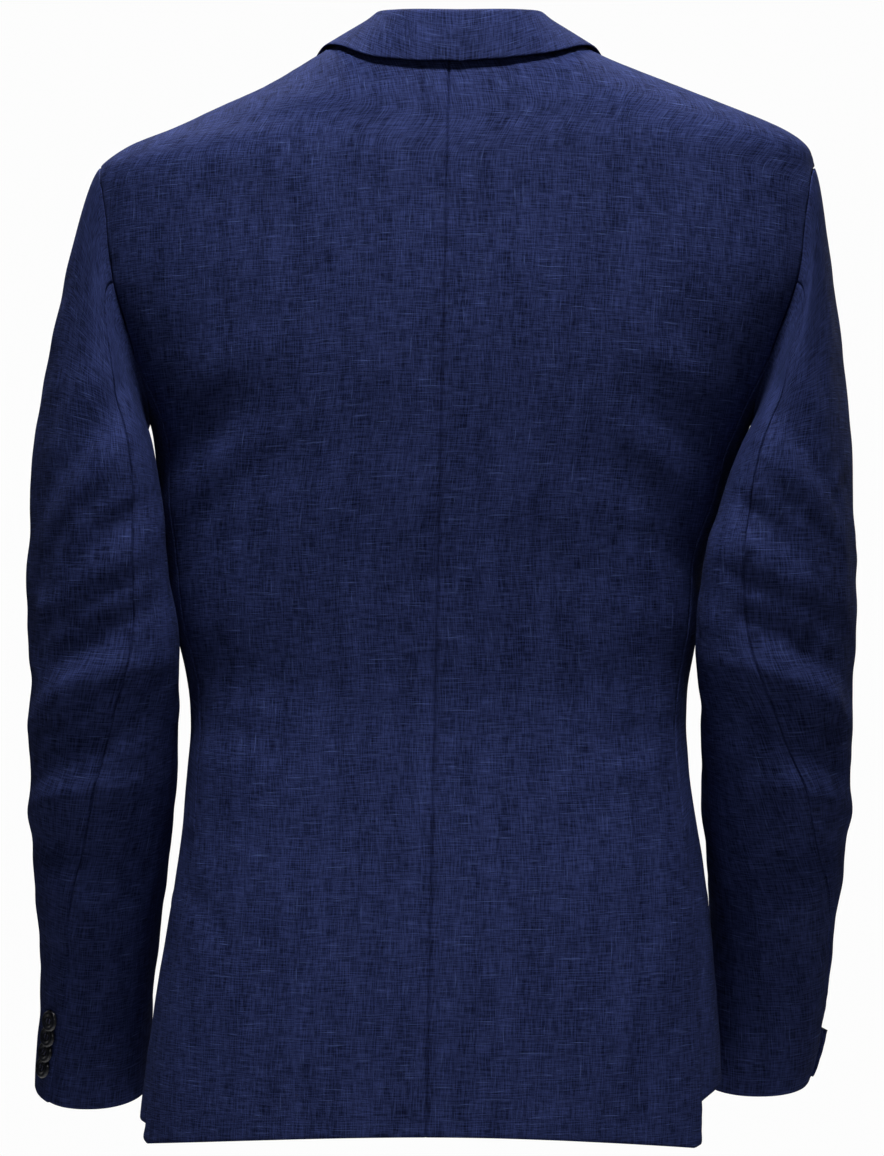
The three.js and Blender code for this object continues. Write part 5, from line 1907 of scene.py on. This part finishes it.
class Nodes:
    """Short way to build a material's nodes."""

    def __init__(self, name: str) -> None:
        """Start a material with a plain surface shader.

        Args:
            name: Name of the material.
        """
        self.material = bpy.data.materials.new(name)
        self.material.use_nodes = True
        self.tree = self.material.node_tree
        self.shader = self.tree.nodes["Principled BSDF"]

    def add(self, kind: str, **settings: object) -> bpy.types.Node:
        """A new node with its settings and input values.

        Args:
            kind: The node's type.
            settings: Attributes, or inputs when the name starts with in_.

        Returns:
            The node.
        """
        node = self.tree.nodes.new(kind)
        for key, value in settings.items():
            if key.startswith("in_"):
                node.inputs[key[3:].replace("_", " ")].default_value = value
            else:
                setattr(node, key, value)
        return node

    def link(self, source: bpy.types.NodeSocket, target: bpy.types.NodeSocket) -> None:
        """Join two sockets."""
        self.tree.links.new(source, target)

    def set(self, **values: object) -> None:
        """Give the surface shader's inputs their values, by name."""
        for key, value in values.items():
            self.shader.inputs[key.replace("_", " ")].default_value = value

    def streaks(self, streak: Streak) -> bpy.types.NodeSocket:
        """The nodes of a streaky noise.

        Args:
            streak: Its sizes.

        Returns:
            The result's socket.
        """
        where = self.add("ShaderNodeUVMap", uv_map="Cloth")
        mapping = self.add("ShaderNodeMapping", in_Scale=(streak.across, streak.up, 1.0))
        noise = self.add("ShaderNodeTexNoise", in_Scale=1.0, in_Detail=streak.detail,
                         in_Roughness=0.6)
        span = self.add("ShaderNodeMapRange", interpolation_type="SMOOTHSTEP",
                        in_From_Min=streak.low, in_From_Max=streak.high)
        self.link(where.outputs["UV"], mapping.inputs["Vector"])
        self.link(mapping.outputs["Vector"], noise.inputs["Vector"])
        self.link(noise.outputs["Fac"], span.inputs["Value"])
        return span.outputs["Result"]

    def maths(self, operation: str, a: bpy.types.NodeSocket, b: bpy.types.NodeSocket | float
              ) -> bpy.types.NodeSocket:
        """A sum or product of two values."""
        node = self.add("ShaderNodeMath", operation=operation)
        self.link(a, node.inputs[0])
        if isinstance(b, float):
            node.inputs[1].default_value = b
        else:
            self.link(b, node.inputs[1])
        return node.outputs[0]

    def mixed(self, share: bpy.types.NodeSocket, a: bpy.types.NodeSocket | tuple,
              b: tuple[float, ...]) -> bpy.types.NodeSocket:
        """A colour between two, by a share."""
        node = self.add("ShaderNodeMix", data_type="RGBA")
        self.link(share, node.inputs["Factor"])
        if isinstance(a, tuple):
            node.inputs[MIX_A].default_value = (*a, 1.0)
        else:
            self.link(a, node.inputs[MIX_A])
        node.inputs[MIX_B].default_value = (*b, 1.0)
        return node.outputs[MIXED]


@dataclass(frozen=True)
class Linen:
    """Slubby navy linen: uneven threads both ways, some of them lighter."""

    name: str = "navy linen"
    deep: tuple[float, float, float] = (0.0010, 0.0015, 0.012)
    mid: tuple[float, float, float] = (0.046, 0.065, 0.210)
    light: tuple[float, float, float] = (0.085, 0.125, 0.330)
    warm: tuple[float, float, float] = (0.050, 0.042, 0.060)
    weft: Streak = Streak(75.0, 1150.0, 3.0, 0.34, 0.68)
    weft_slub: Streak = Streak(38.0, 700.0, 2.0, 0.60, 0.76)
    warp_slub: Streak = Streak(700.0, 38.0, 2.0, 0.62, 0.78)
    fleck: Streak = Streak(260.0, 900.0, 1.0, 0.70, 0.82)
    cloud: Streak = Streak(70.0, 9.0, 3.0, 0.25, 0.75)
    fine_weft: Streak = Streak(420.0, 1900.0, 1.0, 0.3, 0.7)
    cloud_share: float = 0.2
    slub_share: float = 0.55
    fleck_share: float = 0.5
    fine_share: float = 0.35
    bump: float = 0.5
    bump_deep: float = 0.00035

    def make(self) -> bpy.types.Material:
        """Build the material."""
        n = Nodes(self.name)
        both = n.maths("ADD", n.streaks(self.weft), n.streaks(self.weft.turned()))
        weave = n.maths("MULTIPLY", both, 0.5)
        slubs = n.maths("MAXIMUM", n.streaks(self.weft_slub), n.streaks(self.warp_slub))
        cloud = n.maths("MULTIPLY", n.streaks(self.cloud), self.cloud_share)
        tone = n.maths("ADD", n.maths("MULTIPLY", weave, 1 - self.cloud_share), cloud)
        colour = n.mixed(tone, self.deep, self.mid)
        colour = n.mixed(n.maths("MULTIPLY", slubs, self.slub_share), colour, self.light)
        flecks = n.maths("MULTIPLY", n.streaks(self.fleck), self.fleck_share)
        colour = n.mixed(flecks, colour, self.warm)
        n.link(colour, n.shader.inputs["Base Color"])
        fine = n.maths("ADD", n.streaks(self.fine_weft), n.streaks(self.fine_weft.turned()))
        height = n.maths("ADD", n.maths("MULTIPLY", fine, self.fine_share),
                         n.maths("ADD", weave, slubs))
        bump = n.add("ShaderNodeBump", in_Strength=self.bump, in_Distance=self.bump_deep)
        n.link(height, bump.inputs["Height"])
        n.link(bump.outputs["Normal"], n.shader.inputs["Normal"])
        n.set(Roughness=0.82, Specular_IOR_Level=0.05, Sheen_Weight=0.01, Sheen_Roughness=0.45,
              Sheen_Tint=(0.35, 0.45, 1.0, 1.0))
        return n.material


@dataclass(frozen=True)
class Horn:
    """Dark satin button with faint clouding."""

    name: str = "dark button"
    deep: tuple[float, float, float] = (0.004, 0.005, 0.009)
    light: tuple[float, float, float] = (0.016, 0.018, 0.03)
    clouding: Streak = Streak(160.0, 420.0, 4.0, 0.35, 0.7)

    def make(self) -> bpy.types.Material:
        """Build the material."""
        n = Nodes(self.name)
        cloud = n.streaks(self.clouding)
        n.link(n.mixed(cloud, self.deep, self.light), n.shader.inputs["Base Color"])
        rough = n.add("ShaderNodeMapRange", in_To_Min=0.28, in_To_Max=0.42)
        n.link(cloud, rough.inputs["Value"])
        n.link(rough.outputs["Result"], n.shader.inputs["Roughness"])
        n.set(Coat_Weight=0.15, Coat_Roughness=0.2)
        return n.material


@dataclass(frozen=True)
class Thread:
    """Dark sewing thread with a soft shine."""

    name: str = "dark thread"
    colour: tuple[float, float, float] = (0.010, 0.012, 0.045)

    def make(self) -> bpy.types.Material:
        """Build the material."""
        n = Nodes(self.name)
        place = n.add("ShaderNodeTexCoord")
        noise = n.add("ShaderNodeTexNoise", in_Scale=900.0, in_Detail=2.0)
        n.link(place.outputs["Object"], noise.inputs["Vector"])
        colour = n.mixed(noise.outputs["Fac"], self.colour, tuple(2.0 * c for c in self.colour))
        n.link(colour, n.shader.inputs["Base Color"])
        n.set(Roughness=0.6, Sheen_Weight=0.2)
        return n.material


@dataclass(frozen=True)
class Lamp:
    """A soft square lamp that looks at the middle of the blazer.

    The spread is how wide its beam opens, in degrees, and look_z the height that
    it looks at. Places and sizes are in metres.
    """

    name: str
    place: tuple[float, float, float]
    size: float
    power: float
    spread: float = 180.0
    look_z: float = -0.35

    def hang(self) -> None:
        """Put the lamp in the scene."""
        data = bpy.data.lights.new(self.name, "AREA")
        data.size = self.size
        data.energy = self.power
        data.spread = math.radians(self.spread)
        obj = bpy.data.objects.new(self.name, data)
        obj.location = self.place
        way = Vector((0.0, 0.0, self.look_z)) - Vector(self.place)
        obj.rotation_euler = way.to_track_quat("-Z", "Y").to_euler()
        bpy.context.scene.collection.objects.link(obj)


@dataclass
class Studio:
    """Plain pale floor, soft light and the photograph's camera."""

    distance: float = 2.9
    camera_x: float = 0.0109
    camera_z: float = -0.352
    frame_high: float = 1156 * 0.00068
    floor_z: float = -1.45
    floor_half: float = 4.0
    white: float = 0.8
    sky: float = 0.012
    shown: float = 0.98
    pale: float = 0.72
    lamps: tuple[Lamp, ...] = (
        Lamp("key", (-0.03, 1.15, 2.9), 0.6, 8.1, 42, -0.3),
        Lamp("fill", (0.05, 2.6, 0.2), 0.4, 0.4, 50, -0.4),
        Lamp("front_key", (0.25, -1.5, 2.3), 0.6, 15, 80),
        Lamp("front_fill", (-1.4, -2.4, 0.4), 1.2, 6),
        Lamp("side_left", (3.0, -1.6, 0.6), 1.4, 3),
        Lamp("side_right", (-3.0, -1.6, 0.6), 1.4, 3),
    )

    def floor(self) -> None:
        """Lay the floor, which shows pale but lights nothing by itself."""
        half = self.floor_half
        mesh = bpy.data.meshes.new("floor")
        corners = [(-half, -half), (half, -half), (half, half), (-half, half)]
        mesh.from_pydata([(x, y, self.floor_z) for x, y in corners], [], [(0, 1, 2, 3)])
        floor = bpy.data.objects.new("floor", mesh)
        bpy.context.scene.collection.objects.link(floor)
        n = Nodes("pale floor")
        n.set(Base_Color=(self.white, self.white, self.white, 1.0), Roughness=0.9,
              Emission_Color=(1.0, 1.0, 1.0, 1.0))
        seen = n.add("ShaderNodeLightPath").outputs["Is Camera Ray"]
        n.link(n.maths("MULTIPLY", seen, self.pale), n.shader.inputs["Emission Strength"])
        floor.data.materials.append(n.material)

    def backdrop(self) -> None:
        """Make the sky, which shows nearly white and lights only a little."""
        world = bpy.data.worlds.new("soft sky")
        world.use_nodes = True
        tree = world.node_tree
        back = tree.nodes["Background"]
        back.inputs["Color"].default_value = (1.0, 1.0, 1.0, 1.0)
        path = tree.nodes.new("ShaderNodeLightPath")
        span = tree.nodes.new("ShaderNodeMapRange")
        span.inputs["To Min"].default_value = self.sky
        span.inputs["To Max"].default_value = self.shown
        tree.links.new(path.outputs["Is Camera Ray"], span.inputs["Value"])
        tree.links.new(span.outputs["Result"], back.inputs["Strength"])
        bpy.context.scene.world = world

    def camera(self) -> None:
        """Place the photograph's camera."""
        scene = bpy.context.scene
        data = bpy.data.cameras.new("camera")
        data.sensor_fit = "VERTICAL"
        data.sensor_height = 36.0
        data.lens = data.sensor_height * self.distance / self.frame_high
        data.clip_end = 100.0
        camera = bpy.data.objects.new("camera", data)
        camera.location = (self.camera_x, self.distance, self.camera_z)
        camera.rotation_euler = (math.pi / 2, 0.0, math.pi)
        scene.collection.objects.link(camera)
        scene.camera = camera
        scene.view_settings.view_transform = "Standard"

    def build(self) -> None:
        """Make the floor, sky, lamps and camera."""
        self.floor()
        self.backdrop()
        for lamp in self.lamps:
            lamp.hang()
        self.camera()


def main() -> None:
    """Build the whole scene in order."""
    logging.basicConfig(level=logging.INFO, format="%(message)s")
    Studio().build()
    linen, horn, thread = Linen().make(), Horn().make(), Thread().make()
    body, armhole = BodyForm(), Armhole()
    for side in Side:
        shared = (side, body, armhole, linen)
        for kind in (BackPanel, SidePanel, FrontPanel, Lapel, Flap):
            kind(*shared).build()
        sleeve = Sleeve(*shared)
        sleeve.build()
        CuffButtons(sleeve, horn, thread).build()
    Collar(Side.LEFT, body, armhole, linen).build()
    FrontButtons(body, horn, thread).build()
    BarTacks(body, thread).build(Flap(Side.LEFT, body, armhole, linen))


if __name__ == "__main__":
    main()
